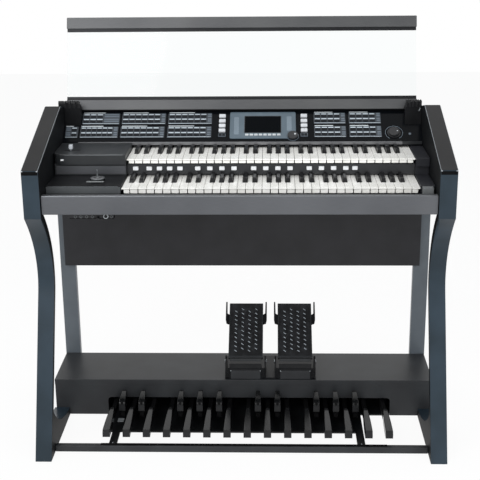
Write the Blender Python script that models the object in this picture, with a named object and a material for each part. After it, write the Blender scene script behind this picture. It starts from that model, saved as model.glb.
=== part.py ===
"""Two-manual electronic organ on curved side boards, with a 25-note pedalboard,
two expression pedals, a sloping control panel and a hinged clear music rest.

Metres, +Z up, +X to the player's right. The player sits on the -Y side.
Depths below are measured back from the console's front face; MID_DEPTH moves
the middle of the whole depth to Y = 0.
"""
import math

import bmesh
import bpy
from mathutils import Matrix, Vector

# Fit between pieces that touch, play round a pushed button, and how far a cutter
# reaches past the face that it cuts
GAP = 0.0003
BUTTON_PLAY = 0.0006
PAST = 0.01

# Overall console and side boards
OUTER_HALF = 0.600
BOARD = 0.048
INNER_HALF = OUTER_HALF - BOARD
CHEEK_FRONT_TOP = (0.000, 0.855)
CHEEK_CREST = (0.365, 0.966)
CHEEK_REAR_TOP = (0.470, 0.944)
CHEEK_BOTTOM = 0.727
LEG_FOLD = (0.000, 0.717)
LEG_BELLY = (0.118, 0.606)
LEG_KNEE = (0.117, 0.505)
KNEE_TURN = (0.117, 0.484)
KNEE_END = (0.105, 0.455)
FOOT_FRONT = -0.078
LEG_THICK = 0.020
BACK_KNEE_TURN = (0.139, 0.490)
BACK_KNEE = (0.136, 0.520)
BACK_BELLY = (0.136, 0.625)
BACK_FOLD = (0.030, CHEEK_BOTTOM)
FOOT_BOARD_END = 0.024
FOOT_BOARD_SAG = (0.060, 0.040)
FOOT_BOARD_RISE = 0.125
CURVE_STEPS = 7

# Music rest
REST_HALF = 0.5455
REST_MID = -0.0045
REST_LEAN = math.radians(18.7)
REST_LENGTH = 0.290
REST_THICK = 0.010
REST_RAIL = 0.045
SHEET_THICK = 0.004
SHEET_IN = 0.012
REST_PIVOT = (0.461, 0.9365)

# Depth of the whole object, from the feet to the top of the leaning rest
DEEPEST = REST_PIVOT[0] + REST_LENGTH * math.sin(REST_LEAN)
MID_DEPTH = (FOOT_FRONT + DEEPEST) / 2

# Key floor, front rail, back and knee panel
KEY_FLOOR = 0.752
RAIL_FRONT = 0.009
RAIL_BACK = 0.033
RAIL_TOP = 0.7805
BACK_FRONT = 0.4583
BACK_REAR = 0.470
BACK_TOP = 0.9120
KNEE_PANEL_HALF = 0.5715
KNEE_PANEL_MID = -0.006
KNEE_PANEL_LOW = 0.437
KNEE_PANEL_FRONT = 0.416
REAR_LEG_FRONT = 0.436
REAR_LEG_BACK = 0.458
REAR_LEG_OUT = 0.5965
REAR_LEG_WIDE = 0.048

# Left, right, front, back, low and high of the socket box under the key floor
SOCKET_BOX = (-0.480, -0.353, 0.036, 0.110, 0.711, 0.735)

# Keyboards: 36 naturals and 25 sharps each
NATURAL_PITCH = 0.0235
NATURALS = 36
KEY_GAP = 0.001
MANUAL_MID = 0.0877
MANUAL_LEFT = MANUAL_MID - NATURALS * NATURAL_PITCH / 2
MANUAL_RIGHT = MANUAL_MID + NATURALS * NATURAL_PITCH / 2
SHARP_WIDE = 0.0130
SHARP_RISE = 0.0115
SHARP_SLOPE = 0.006
LIP_THICK = 0.0025
LIP_OVER = 0.0025
SKIRT_BACK = 0.007
BAR_HALF = 0.012
BAR_CLEAR = 0.002
LOWER_FRONT = 0.081
LOWER_TOP = 0.785
LOWER_THICK = 0.014
LOWER_SET_BACK = 0.062
LOWER_VISIBLE_BACK = 0.2185
LOWER_PIVOT = 0.380
UPPER_FRONT = 0.212
UPPER_TOP = 0.838
UPPER_THICK = 0.0055
UPPER_SET_BACK = 0.070
UPPER_VISIBLE_BACK = 0.3585
UPPER_PIVOT = 0.420
UPPER_SKIRT_LOW = 0.8247

# Preset rail between the manuals
PRESET_FACE = 0.222
PRESET_THICK = 0.004
PRESET_LOW = 0.789
PRESET_TOP = 0.8205
SHELF_BACK = 0.445
BUTTON_HIGH = 0.808
BUTTON_WIDE = 0.0160
BUTTON_TALL = 0.0112
BUTTON_OUT = 0.0045
BUTTON_GROUPS = (
    (-0.3100, 1, 0.0), (-0.2700, 4, 0.0303), (-0.1265, 4, 0.0357), (0.0385, 4, 0.0357),
    (0.2020, 4, 0.0357), (0.3360, 1, 0.0)
)

# End blocks beside the keyboards
BLOCK_LOW = 0.768
BLOCK_TOP = 0.791
BLOCK_BACK = 0.430
BLOCK_STEP = 0.100
UPPER_BLOCK_FRONT = 0.200
UPPER_BLOCK_CORNER = 0.035
STAND_FRONT = 0.208
STAND_IN = 0.004
UPPER_BLOCK_LOW = 0.823
UPPER_BLOCK_TOP = 0.855
UPPER_BLOCK_BACK = 0.3600
RIGHT_BLOCK_LOW = 0.8155
RIGHT_BLOCK_TOP = 0.8420
RIGHT_STAND_FRONT = 0.212

# Control panel
PANEL_FRONT = (0.365, 0.857)
PANEL_REAR = (0.463, 0.934)
PANEL_ANGLE = math.atan2(PANEL_REAR[1] - PANEL_FRONT[1], PANEL_REAR[0] - PANEL_FRONT[0])
PANEL_UNDER = 0.8435
PANEL_SKIN = 0.0025
PANEL_POCKET = 0.0065
BUTTON_PROUD = 0.0020
BANK_ROW_LOW = (0.016, 0.060)
BANK_ROW_HIGH = (0.070, 0.114)
BANKS_LOW = (
    (-0.5470, -0.5080), (-0.5010, -0.3840), (-0.3760, -0.2400), (-0.2305, -0.0945),
    (0.2220, 0.3200), (0.3300, 0.4285)
)
BANKS_HIGH = (
    (-0.4985, -0.3825), (-0.3745, -0.2385), (-0.2300, -0.0940), (0.2215, 0.3195), (0.3300, 0.4285)
)
COLUMNS = ((-0.0730, -0.0505), (0.1800, 0.2025))
COLUMN_RUN = (0.018, 0.110)
DISPLAY_MID = 0.064
DISPLAY_HALF = 0.102
DISPLAY_RUN = (0.009, 0.115)
DISPLAY_THICK = 0.003
SCREEN_HALF = 0.055
SCREEN_RUN = (0.033, 0.097)
DIAL_PLACE = (0.156, 0.0185)
DIAL_RADIUS = 0.0165
DIAL_TALL = 0.006
DIAL_RING = 0.0036
VOLUME_PLACE = (0.466, 0.032)
VOLUME_RADIUS = 0.020
VOLUME_TALL = 0.009

# Left controls and hinge blocks of the music rest
JOYSTICK_PLACE = (-0.4125, 0.1460)
PEDESTAL_RADIUS = 0.0215
PEDESTAL_TALL = 0.007
CUP_RADIUS = 0.0085
CUP_DEEP = 0.0060
JOYSTICK_BALL = 0.005
JOYSTICK_TALL = 0.025
LEVER_PLACE = (-0.506, 0.256)
LEVER_TALL = 0.018
HINGE_IN = 0.501
HINGE_OUT = 0.551
HINGE_FRONT = 0.416
HINGE_BACK = 0.447
HINGE_SHOULDER = 0.948
HINGE_TOP = 0.970

# Pedal case, pan and foot rail
CASE_HALF = 0.595
CASE_FRONT = 0.226
CASE_BACK = 0.4357
CASE_TALL = 0.121
CASE_BOARD = 0.018
SLOT_LEFT = -0.428
SLOT_RIGHT = 0.464
SLOT_TALL = 0.061
PAN_FRONT = 0.105
PAN_BACK = 0.412
PAN_THICK = 0.005
PAN_SIDE_GAP = 0.001
PAN_LEFT = -0.412
PAN_INSIDE = (-0.458, 0.484)
STRAPS = (-0.387, 0.360)
STRAP_WIDE = 0.024
HEEL_BAR_FRONT = 0.396
HEEL_BAR_BACK = 0.409
HEEL_BAR_TOP = 0.0343
FOOT_RAIL_FRONT = -0.018
FOOT_RAIL_BACK = 0.000
FOOT_RAIL_TALL = 0.020

# Pedals: 15 naturals and 10 sharps
PEDAL_PITCH = 0.060
PEDAL_MID = 0.019
PEDAL_NATURALS = 15
PEDAL_WIDE = 0.022
PEDAL_SHARP_WIDE = 0.018
PEDAL_PIVOT = (0.400, 0.045)

# Expression pedals
EXPRESSION_MIDS = (0.009, 0.165)
TREAD_HALF = 0.0545
TREAD_LOW = (0.250, 0.187)
TREAD_HIGH = (0.420, 0.306)
TREAD_ANGLE = math.atan2(TREAD_HIGH[1] - TREAD_LOW[1], TREAD_HIGH[0] - TREAD_LOW[0])
TREAD_PIVOT = (0.275, 0.165)
PLATE_IN = 0.0595
PLATE_OUT = 0.0645
PLATE_TOP = 0.1275

# One octave: three naturals from C to E over five tails, four from F to B over seven
LOW_GROUP = 3
HIGH_GROUP = 4
SHARP_AFTER = (0, 1, 3, 4, 5)

FINISHES = {
    "navy gloss lacquer": ((0.030, 0.048, 0.066), 0.20, 0.0),
    "grey satin metal": ((0.125, 0.130, 0.138), 0.38, 0.6),
    "charcoal satin paint": ((0.030, 0.030, 0.032), 0.45, 0.0),
    "black moulded plastic": ((0.010, 0.010, 0.011), 0.40, 0.0),
    "black gloss panel": ((0.008, 0.010, 0.013), 0.22, 0.0),
    "white key plastic": ((0.830, 0.830, 0.820), 0.25, 0.0),
    "blue grey bezel": ((0.150, 0.200, 0.260), 0.35, 0.2),
    "pale pedal cap": ((0.300, 0.300, 0.310), 0.35, 0.1),
    "silver plastic": ((0.600, 0.610, 0.620), 0.30, 0.7),
    "clear acrylic": ((0.900, 0.920, 0.930), 0.05, 0.0),
    "white button plastic": ((0.780, 0.790, 0.800), 0.35, 0.0),
}


def clear_scene():
    for old in list(bpy.data.objects):
        bpy.data.objects.remove(old, do_unlink=True)


def finish(name):
    """The Principled material of that name, made on first use."""
    found = bpy.data.materials.get(name)
    if found:
        return found
    colour, roughness, metallic = FINISHES[name]
    made = bpy.data.materials.new(name)
    made.use_nodes = True
    shader = made.node_tree.nodes["Principled BSDF"]
    shader.inputs["Base Color"].default_value = (*colour, 1.0)
    shader.inputs["Roughness"].default_value = roughness
    shader.inputs["Metallic"].default_value = metallic
    return made


def at(x, depth, height):
    """A point given by its depth behind the console's front face."""
    return Vector((x, depth - MID_DEPTH, height))


def panel_at(x, run, out=0.0):
    """A point on the control panel: run up the slope, out along its normal."""
    cosine = math.cos(PANEL_ANGLE)
    sine = math.sin(PANEL_ANGLE)
    depth = PANEL_FRONT[0] + run * cosine - out * sine
    height = PANEL_FRONT[1] + run * sine + out * cosine
    return at(x, depth, height)


def add_object(name, mesh, material, pivot=None, smooth=False):
    """Link a mesh given in world places, with its origin moved to the pivot."""
    centre = pivot or Vector((0, 0, 0))
    bmesh.ops.translate(mesh, verts=mesh.verts, vec=-centre)
    bmesh.ops.recalc_face_normals(mesh, faces=mesh.faces)
    data = bpy.data.meshes.new(name)
    mesh.to_mesh(data)
    mesh.free()
    if smooth:
        data.shade_smooth()
        data.set_sharp_from_angle(angle=math.radians(35))
    made = bpy.data.objects.new(name, data)
    made.location = centre
    data.materials.append(finish(material))
    bpy.context.scene.collection.objects.link(made)
    return made


def combine(name, target, mesh, operation):
    """Join a second mesh to an object, or cut it away, with a Boolean modifier."""
    tool = add_object(target.name + "." + name, mesh, target.data.materials[0].name)
    tool.hide_render = True
    tool.display_type = "WIRE"
    step = target.modifiers.new(name, "BOOLEAN")
    step.operation = operation
    step.object = tool
    step.solver = "EXACT"
    return target


def cut(name, target, mesh):
    return combine(name, target, mesh, "DIFFERENCE")


def fuse(name, target, mesh):
    return combine(name, target, mesh, "UNION")


def round_edges(target, width, segments=2, angle=50):
    step = target.modifiers.new("rounded edges", "BEVEL")
    step.width = width
    step.segments = segments
    step.limit_method = "ANGLE"
    step.angle_limit = math.radians(angle)
    return target


def extrude_outline(points, along):
    """A closed prism: one flat face over the points, pushed along a vector."""
    mesh = bmesh.new()
    face = mesh.faces.new([mesh.verts.new(point) for point in points])
    pushed = bmesh.ops.extrude_face_region(mesh, geom=[face])
    moved = [item for item in pushed["geom"] if isinstance(item, bmesh.types.BMVert)]
    bmesh.ops.translate(mesh, verts=moved, vec=along)
    return mesh


def side_prism(profile, left, right):
    """A prism along X from a profile of (depth, height) points."""
    points = [at(left, depth, height) for depth, height in profile]
    return extrude_outline(points, Vector((right - left, 0, 0)))


def plan_prism(outline, low, high):
    """A prism along Z from an outline of (x, depth) points."""
    points = [at(x, depth, low) for x, depth in outline]
    return extrude_outline(points, Vector((0, 0, high - low)))


def block(left, right, front, back, low, high):
    return side_prism([(front, low), (front, high), (back, high), (back, low)], left, right)


def panel_block(left, right, run_low, run_high, low, high):
    """A box lying on the control panel."""
    corners = [(left, run_low), (right, run_low), (right, run_high), (left, run_high)]
    points = [panel_at(x, run, low) for x, run in corners]
    return extrude_outline(points, panel_at(0, 0, high) - panel_at(0, 0, low))


def drum(centre, axis, radius, length, sides, top_radius=None):
    """A closed round bar or cone from the centre of its base along an axis."""
    mesh = bmesh.new()
    tip = radius if top_radius is None else top_radius
    bmesh.ops.create_cone(
        mesh, cap_ends=True, segments=sides, radius1=radius, radius2=tip, depth=length
    )
    turn = Vector((0, 0, 1)).rotation_difference(axis).to_matrix().to_4x4()
    lift = Matrix.Translation(centre + axis.normalized() * (length / 2))
    bmesh.ops.transform(mesh, matrix=lift @ turn, verts=mesh.verts)
    return mesh


def merge(meshes):
    """Several separate closed shapes in one mesh, used as one cutter."""
    whole = bmesh.new()
    for mesh in meshes:
        data = bpy.data.meshes.new("part of a cutter")
        mesh.to_mesh(data)
        mesh.free()
        whole.from_mesh(data)
        bpy.data.meshes.remove(data)
    return whole


def bend(start, middle, end, steps):
    """Points of a quadratic curve, its start left out."""
    start, middle, end = Vector(start), Vector(middle), Vector(end)
    points = []
    for step in range(1, steps + 1):
        part = step / steps
        points.append(tuple(start.lerp(middle, part).lerp(middle.lerp(end, part), part)))
    return points


def side_profile():
    """Cheek, swept front leg and low foot board in one outline."""
    foot_slope = (KNEE_END[0] - FOOT_FRONT) / KNEE_END[1]
    leg_back = LEG_THICK * math.hypot(1, foot_slope)
    heel = (FOOT_FRONT + foot_slope * FOOT_BOARD_RISE + leg_back, FOOT_BOARD_RISE)
    front = [CHEEK_FRONT_TOP, LEG_FOLD]
    front += bend(LEG_FOLD, LEG_BELLY, LEG_KNEE, CURVE_STEPS)
    front += bend(LEG_KNEE, KNEE_TURN, KNEE_END, 3)
    front.append((FOOT_FRONT, 0.0))
    foot = [(CASE_FRONT - GAP, 0.0), (CASE_FRONT - GAP, FOOT_BOARD_END)]
    foot += bend(foot[-1], FOOT_BOARD_SAG, heel, 4)
    knee_back = (KNEE_END[0] + leg_back, KNEE_END[1])
    back = [knee_back]
    back += bend(knee_back, BACK_KNEE_TURN, BACK_KNEE, 3)
    back += bend(BACK_KNEE, BACK_BELLY, BACK_FOLD, CURVE_STEPS)
    top = [(CHEEK_REAR_TOP[0], CHEEK_BOTTOM), CHEEK_REAR_TOP, CHEEK_CREST]
    return front + foot + back + top


def make_side_frames():
    for side, word in ((-1, "left"), (1, "right")):
        near, far = sorted((side * INNER_HALF, side * OUTER_HALF))
        side_board = add_object(
            "side_board_" + word, side_prism(side_profile(), near, far), "navy gloss lacquer"
        )
        round_edges(side_board, 0.0015, 1, 60)
        inner = side * (REAR_LEG_OUT - REAR_LEG_WIDE)
        near, far = sorted((inner, side * REAR_LEG_OUT))
        leg = block(near, far, REAR_LEG_FRONT, REAR_LEG_BACK, 0.0, CHEEK_BOTTOM - GAP)
        add_object("rear_leg_" + word, leg, "navy gloss lacquer")


def make_console():
    wide = INNER_HALF - GAP
    floor = block(-wide, wide, RAIL_BACK + GAP, REAR_LEG_BACK, CHEEK_BOTTOM, KEY_FLOOR)
    keybed = add_object("keybed", floor, "charcoal satin paint")
    fuse("socket box", keybed, block(*SOCKET_BOX))

    rail = block(-wide, wide, RAIL_FRONT, RAIL_BACK, CHEEK_BOTTOM, RAIL_TOP)
    round_edges(add_object("front_rail", rail, "grey satin metal"), 0.002)

    back = block(-wide, wide, BACK_FRONT, BACK_REAR, CHEEK_BOTTOM + GAP, BACK_TOP)
    add_object("console_back", back, "charcoal satin paint")

    panel = block(
        KNEE_PANEL_MID - KNEE_PANEL_HALF, KNEE_PANEL_MID + KNEE_PANEL_HALF,
        KNEE_PANEL_FRONT, REAR_LEG_FRONT - GAP, KNEE_PANEL_LOW, CHEEK_BOTTOM - GAP
    )
    add_object("knee_panel", panel, "charcoal satin paint")


def make_end_blocks():
    wide = INNER_HALF - GAP
    floor = KEY_FLOOR + GAP
    left_edge = MANUAL_LEFT - KEY_GAP
    low = [(LOWER_FRONT, BLOCK_LOW), (LOWER_FRONT, BLOCK_TOP), (BLOCK_BACK, BLOCK_TOP)]
    low += [(BLOCK_BACK, floor), (BLOCK_STEP, floor), (BLOCK_STEP, BLOCK_LOW)]
    lower = add_object("lower_left_block", side_prism(low, -wide, left_edge), "charcoal satin paint")
    round_edges(lower, 0.0015, 1)
    up = Vector((0, 0, 1))
    sunk = 0.003
    foot = at(*JOYSTICK_PLACE, BLOCK_TOP - sunk)
    fuse("joystick pedestal", lower, drum(foot, up, PEDESTAL_RADIUS, PEDESTAL_TALL + sunk, 28))
    cup_floor = at(*JOYSTICK_PLACE, BLOCK_TOP + PEDESTAL_TALL - CUP_DEEP)
    cut("joystick cup", lower, drum(cup_floor, up, CUP_RADIUS, CUP_DEEP + PAST, 20))

    base = BLOCK_TOP + GAP
    outline = [(left_edge, UPPER_BLOCK_BACK), (left_edge, UPPER_BLOCK_FRONT)]
    outline.append((-wide + UPPER_BLOCK_CORNER, UPPER_BLOCK_FRONT))
    outline += bend(
        outline[-1], (-wide, UPPER_BLOCK_FRONT), (-wide, UPPER_BLOCK_FRONT + UPPER_BLOCK_CORNER), 5
    )
    outline.append((-wide, UPPER_BLOCK_BACK))
    upper = add_object(
        "upper_left_block", plan_prism(outline, UPPER_BLOCK_LOW, UPPER_BLOCK_TOP),
        "charcoal satin paint"
    )
    round_edges(upper, 0.002)
    stand = block(
        -wide + STAND_IN, left_edge, STAND_FRONT, BLOCK_BACK, base, UPPER_BLOCK_LOW + sunk
    )
    fuse("set back stand", upper, stand)

    right_edge = MANUAL_RIGHT + KEY_GAP
    step = [(LOWER_FRONT, BLOCK_LOW), (LOWER_FRONT, BLOCK_TOP), (RIGHT_STAND_FRONT, BLOCK_TOP)]
    step += [(RIGHT_STAND_FRONT, RIGHT_BLOCK_LOW), (UPPER_BLOCK_FRONT, RIGHT_BLOCK_LOW)]
    step += [(UPPER_BLOCK_FRONT, RIGHT_BLOCK_TOP), (BLOCK_BACK, RIGHT_BLOCK_TOP)]
    step += [(BLOCK_BACK, floor), (BLOCK_STEP, floor), (BLOCK_STEP, BLOCK_LOW)]
    right = add_object("right_end_block", side_prism(step, right_edge, wide), "charcoal satin paint")
    round_edges(right, 0.0015, 1)


def preset_places():
    """Centres in X of the 18 preset buttons, in their groups."""
    places = []
    for first, count, step in BUTTON_GROUPS:
        places += [first + step * number for number in range(count)]
    return places


def make_presets():
    left = MANUAL_LEFT
    right = MANUAL_RIGHT
    face_back = PRESET_FACE + PRESET_THICK
    profile = [(PRESET_FACE, PRESET_LOW), (PRESET_FACE, PRESET_TOP), (SHELF_BACK, PRESET_TOP)]
    profile += [(SHELF_BACK, PRESET_TOP - PRESET_THICK), (face_back, PRESET_TOP - PRESET_THICK)]
    profile.append((face_back, PRESET_LOW))
    rail = add_object("preset_rail", side_prism(profile, left, right), "grey satin metal")
    play = BUTTON_PLAY
    holes = []
    buttons = []
    for x in preset_places():
        half = BUTTON_WIDE / 2
        tall = BUTTON_TALL / 2
        holes.append(block(
            x - half - play, x + half + play, PRESET_FACE - 0.002, face_back + 0.002,
            BUTTON_HIGH - tall - play, BUTTON_HIGH + tall + play
        ))
        buttons.append(block(
            x - half, x + half, PRESET_FACE - BUTTON_OUT, face_back + 0.004,
            BUTTON_HIGH - tall, BUTTON_HIGH + tall
        ))
    cut("button windows", rail, merge(holes))
    ends = preset_places()
    bar = block(
        ends[0] - BUTTON_WIDE, ends[-1] + BUTTON_WIDE, face_back + 0.002, face_back + 0.005,
        BUTTON_HIGH - 0.004, BUTTON_HIGH + 0.004
    )
    comb = add_object("preset_buttons", bar, "white button plastic", at(0, PRESET_FACE, BUTTON_HIGH))
    fuse("buttons", comb, merge(buttons))


def sharp_centres(naturals, pitch):
    """Places of the sharps from the left end, five in each octave."""
    centres = []
    octave = 7 * pitch
    for number in range(naturals // 7):
        start = number * octave
        low = LOW_GROUP * pitch / 5
        high = HIGH_GROUP * pitch / 7
        centres += [start + low * place for place in (1.5, 3.5)]
        centres += [start + LOW_GROUP * pitch + high * place for place in (1.5, 3.5, 5.5)]
    return centres


def natural_outline(front, notch, bar_front, bar_back):
    """Plan of one manual's naturals: a comb of keys, notched beside the sharps."""
    sharps = [MANUAL_LEFT + x for x in sharp_centres(NATURALS, NATURAL_PITCH)]
    room = SHARP_WIDE / 2 + KEY_GAP
    points = [(MANUAL_RIGHT - KEY_GAP / 2, bar_back), (MANUAL_LEFT + KEY_GAP / 2, bar_back)]
    for number in range(NATURALS):
        left = MANUAL_LEFT + number * NATURAL_PITCH + KEY_GAP / 2
        right = left + NATURAL_PITCH - KEY_GAP
        before = [x for x in sharps if x - room < left + 0.004 < x + NATURAL_PITCH * 0.5]
        after = [x for x in sharps if x - NATURAL_PITCH * 0.5 < right - 0.004 < x + room]
        if before:
            inset = before[0] + room
            points += [(inset, bar_front), (inset, notch), (left, notch), (left, front)]
        else:
            points += [(left, bar_front), (left, front)] if number else [(left, front)]
        if after:
            inset = after[0] - room
            points += [(right, front), (right, notch), (inset, notch), (inset, bar_front)]
        else:
            last = number == NATURALS - 1
            points += [(right, front)] if last else [(right, front), (right, bar_front)]
    return points


def sharp_outline(front, bar_front, bar_back):
    """Plan of one manual's sharps joined by a bar at their back."""
    centres = [MANUAL_LEFT + x for x in sharp_centres(NATURALS, NATURAL_PITCH)]
    half = SHARP_WIDE / 2
    points = [(centres[-1] + half, bar_back), (centres[0] - half, bar_back)]
    for number, x in enumerate(centres):
        if number:
            points.append((x - half, bar_front))
        points += [(x - half, front), (x + half, front)]
        if number < len(centres) - 1:
            points.append((x + half, bar_front))
    return points


def make_manual(word, front, top, thick, set_back, visible_back, pivot_depth, skirt_low):
    """One row of naturals and one of sharps, both swinging on the same rear axis."""
    low = top - thick
    layer = thick * 0.42
    bar_front = pivot_depth - BAR_HALF
    bar_back = pivot_depth + BAR_HALF
    pivot = at(0, pivot_depth, top - thick / 2)
    far_left = MANUAL_LEFT - PAST
    far_right = MANUAL_RIGHT + PAST
    notch = front + set_back - KEY_GAP

    outline = natural_outline(front, notch, bar_front, bar_back)
    naturals = add_object(
        word + "_naturals", plan_prism(outline, min(low, skirt_low), top), "white key plastic", pivot
    )
    lip = block(
        far_left, far_right, front - PAST, front + LIP_OVER, skirt_low - PAST, top - LIP_THICK
    )
    cut("under the lip", naturals, lip)
    if skirt_low < low:
        body = block(
            far_left, far_right, front + SKIRT_BACK, bar_back + PAST, skirt_low - PAST, low
        )
        cut("behind the skirt", naturals, body)
    above = block(
        far_left, far_right, bar_front - BAR_CLEAR / 2, bar_back + PAST, low + layer, top + PAST
    )
    cut("bar layer", naturals, above)

    sharp_front = front + set_back
    high = top + SHARP_RISE
    outline = sharp_outline(sharp_front, bar_front, bar_back)
    sharps = add_object(
        word + "_sharps", plan_prism(outline, low, high), "black moulded plastic", pivot
    )
    behind = block(far_left, far_right, visible_back, bar_back + PAST, top, high + PAST)
    cut("low stems", sharps, behind)
    below = block(
        far_left, far_right, bar_front - BAR_CLEAR, bar_back + PAST, low - PAST, top - layer
    )
    cut("bar layer", sharps, below)
    nose = [(sharp_front - PAST, top), (sharp_front - PAST, high + PAST)]
    nose += [(sharp_front + SHARP_SLOPE, high + PAST), (sharp_front + SHARP_SLOPE, high)]
    cut("sloping noses", sharps, side_prism(nose, far_left, far_right))


def make_manuals():
    make_manual(
        "lower", LOWER_FRONT, LOWER_TOP, LOWER_THICK, LOWER_SET_BACK, LOWER_VISIBLE_BACK,
        LOWER_PIVOT, LOWER_TOP - LOWER_THICK
    )
    make_manual(
        "upper", UPPER_FRONT, UPPER_TOP, UPPER_THICK, UPPER_SET_BACK, UPPER_VISIBLE_BACK,
        UPPER_PIVOT, UPPER_SKIRT_LOW
    )


def bank_windows():
    """Left, right, lower and upper edge of each bank of buttons on the panel."""
    windows = [(left, right, *BANK_ROW_LOW) for left, right in BANKS_LOW]
    windows += [(left, right, *BANK_ROW_HIGH) for left, right in BANKS_HIGH]
    windows += [(left, right, *COLUMN_RUN) for left, right in COLUMNS]
    return windows


def make_control_panel():
    wide = INNER_HALF - GAP
    profile = [(0.362, PANEL_UNDER), PANEL_FRONT, PANEL_REAR, (BACK_REAR, PANEL_REAR[1])]
    profile += [(BACK_REAR, BACK_TOP + GAP), (0.458, BACK_TOP + GAP), (0.458, PANEL_UNDER)]
    panel = add_object("control_panel", side_prism(profile, -wide, wide), "black gloss panel")
    pocket = panel_block(-0.5490, 0.4330, 0.0110, 0.1180, -PANEL_POCKET, -PANEL_SKIN)
    cut("pocket under the skin", panel, pocket)
    play = BUTTON_PLAY
    openings = []
    for left, right, low, high in bank_windows():
        openings.append(panel_block(left - play, right + play, low - play, high + play, -0.004, 0.002))
    cut("button windows", panel, merge(openings))

    plate_low = -PANEL_POCKET + 0.0016
    plate = panel_block(-0.5480, 0.4320, 0.0135, 0.1155, plate_low, plate_low + 0.0012)
    banks = add_object("panel_buttons", plate, "white button plastic", panel_at(0, 0.06))
    pads = []
    for left, right, low, high in bank_windows():
        pads.append(panel_block(left, right, low, high, plate_low + 0.0006, BUTTON_PROUD))
    fuse("banks of buttons", banks, merge(pads))


def make_display():
    left = DISPLAY_MID - DISPLAY_HALF
    right = DISPLAY_MID + DISPLAY_HALF
    plate = panel_block(left, right, *DISPLAY_RUN, GAP, DISPLAY_THICK)
    display = add_object("display", plate, "blue grey bezel")
    normal = (panel_at(0, 0, 1) - panel_at(0, 0, 0)).normalized()
    foot = 2 * GAP
    ring = drum(panel_at(*DIAL_PLACE, foot), normal, DIAL_RADIUS + 0.004, DIAL_RING - foot, 28)
    fuse("dial ring", display, ring)
    screen = panel_block(
        DISPLAY_MID - SCREEN_HALF, DISPLAY_MID + SCREEN_HALF, *SCREEN_RUN,
        DISPLAY_THICK - 0.0012, DISPLAY_THICK + 0.003
    )
    cut("screen recess", display, screen)

    base = panel_at(*DIAL_PLACE, DIAL_RING + GAP)
    dial = drum(base, normal, DIAL_RADIUS, DIAL_TALL, 24, DIAL_RADIUS * 0.94)
    add_object("data_dial", dial, "silver plastic", base, True)
    base = panel_at(*VOLUME_PLACE, GAP)
    knob = drum(base, normal, VOLUME_RADIUS, VOLUME_TALL, 28, VOLUME_RADIUS * 0.88)
    add_object("volume_knob", knob, "black moulded plastic", base, True)


def make_left_controls():
    ball_centre = at(*JOYSTICK_PLACE, BLOCK_TOP + PEDESTAL_TALL)
    ball = bmesh.new()
    bmesh.ops.create_uvsphere(ball, u_segments=16, v_segments=8, radius=JOYSTICK_BALL)
    bmesh.ops.translate(ball, verts=ball.verts, vec=ball_centre)
    stick = add_object("joystick", ball, "silver plastic", ball_centre, True)
    fuse("stick", stick, drum(ball_centre, Vector((0, 0, 1)), 0.0028, JOYSTICK_TALL, 12, 0.004))

    x, depth = LEVER_PLACE
    base = UPPER_BLOCK_TOP + GAP
    lever = side_prism(
        [(depth - 0.010, base), (depth - 0.005, base + LEVER_TALL), (depth + 0.005, base + LEVER_TALL),
         (depth + 0.010, base)], x - 0.007, x + 0.007
    )
    made = add_object("balance_lever", lever, "silver plastic", at(x, depth, UPPER_BLOCK_TOP))
    round_edges(made, 0.002)


def hinge_profile():
    """Front view of a hinge block: a sloping inner shoulder and a ridged top."""
    ridges = 5
    start = HINGE_IN + 0.013
    pitch = (HINGE_OUT - start) / ridges
    points = [(HINGE_OUT, PANEL_FRONT[1]), (HINGE_IN, PANEL_FRONT[1]), (HINGE_IN, HINGE_SHOULDER)]
    for number in range(ridges):
        points.append((start + pitch * number, HINGE_TOP))
        points.append((start + pitch * (number + 0.5), HINGE_TOP - 0.003))
    points.append((HINGE_OUT, HINGE_TOP))
    return points


def make_music_rest():
    for side, word in ((-1, "left"), (1, "right")):
        points = [at(side * x, HINGE_FRONT, z) for x, z in hinge_profile()]
        body = extrude_outline(points, Vector((0, HINGE_BACK - HINGE_FRONT, 0)))
        holder = add_object("hinge_block_" + word, body, "charcoal satin paint")
        cut("panel slope", holder, panel_block(-OUTER_HALF, OUTER_HALF, -0.05, 0.20, -0.10, GAP))

    pivot = bpy.data.objects.new("rest_pivot", None)
    pivot.location = at(0, *REST_PIVOT)
    pivot.rotation_euler = (-REST_LEAN, 0, 0)
    bpy.context.scene.collection.objects.link(pivot)

    def local_box(half, front, back, low, high):
        mesh = block(REST_MID - half, REST_MID + half, front, back, low, high)
        bmesh.ops.translate(mesh, verts=mesh.verts, vec=Vector((0, MID_DEPTH, 0)))
        return mesh

    middle = -REST_THICK / 2
    slot = SHEET_THICK / 2 + GAP
    rails = (("rest_bottom_rail", 0.0, REST_RAIL), ("rest_top_rail", REST_LENGTH - REST_RAIL, REST_LENGTH))
    for name, low, high in rails:
        rail = add_object(name, local_box(REST_HALF, -REST_THICK, 0, low, high), "grey satin metal")
        inner = (high - SHEET_IN, high + 0.01) if low == 0.0 else (low - 0.01, low + SHEET_IN)
        groove = local_box(REST_HALF + 0.01, middle - slot, middle + slot, *inner)
        cut("sheet groove", rail, groove)
        rail.parent = pivot
        for tool in [step.object for step in rail.modifiers if step.type == "BOOLEAN"]:
            tool.parent = pivot
    sheet = local_box(
        REST_HALF - 0.001, middle - SHEET_THICK / 2, middle + SHEET_THICK / 2,
        REST_RAIL - SHEET_IN + GAP, REST_LENGTH - REST_RAIL + SHEET_IN - GAP
    )
    add_object("rest_sheet", sheet, "clear acrylic").parent = pivot


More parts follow.
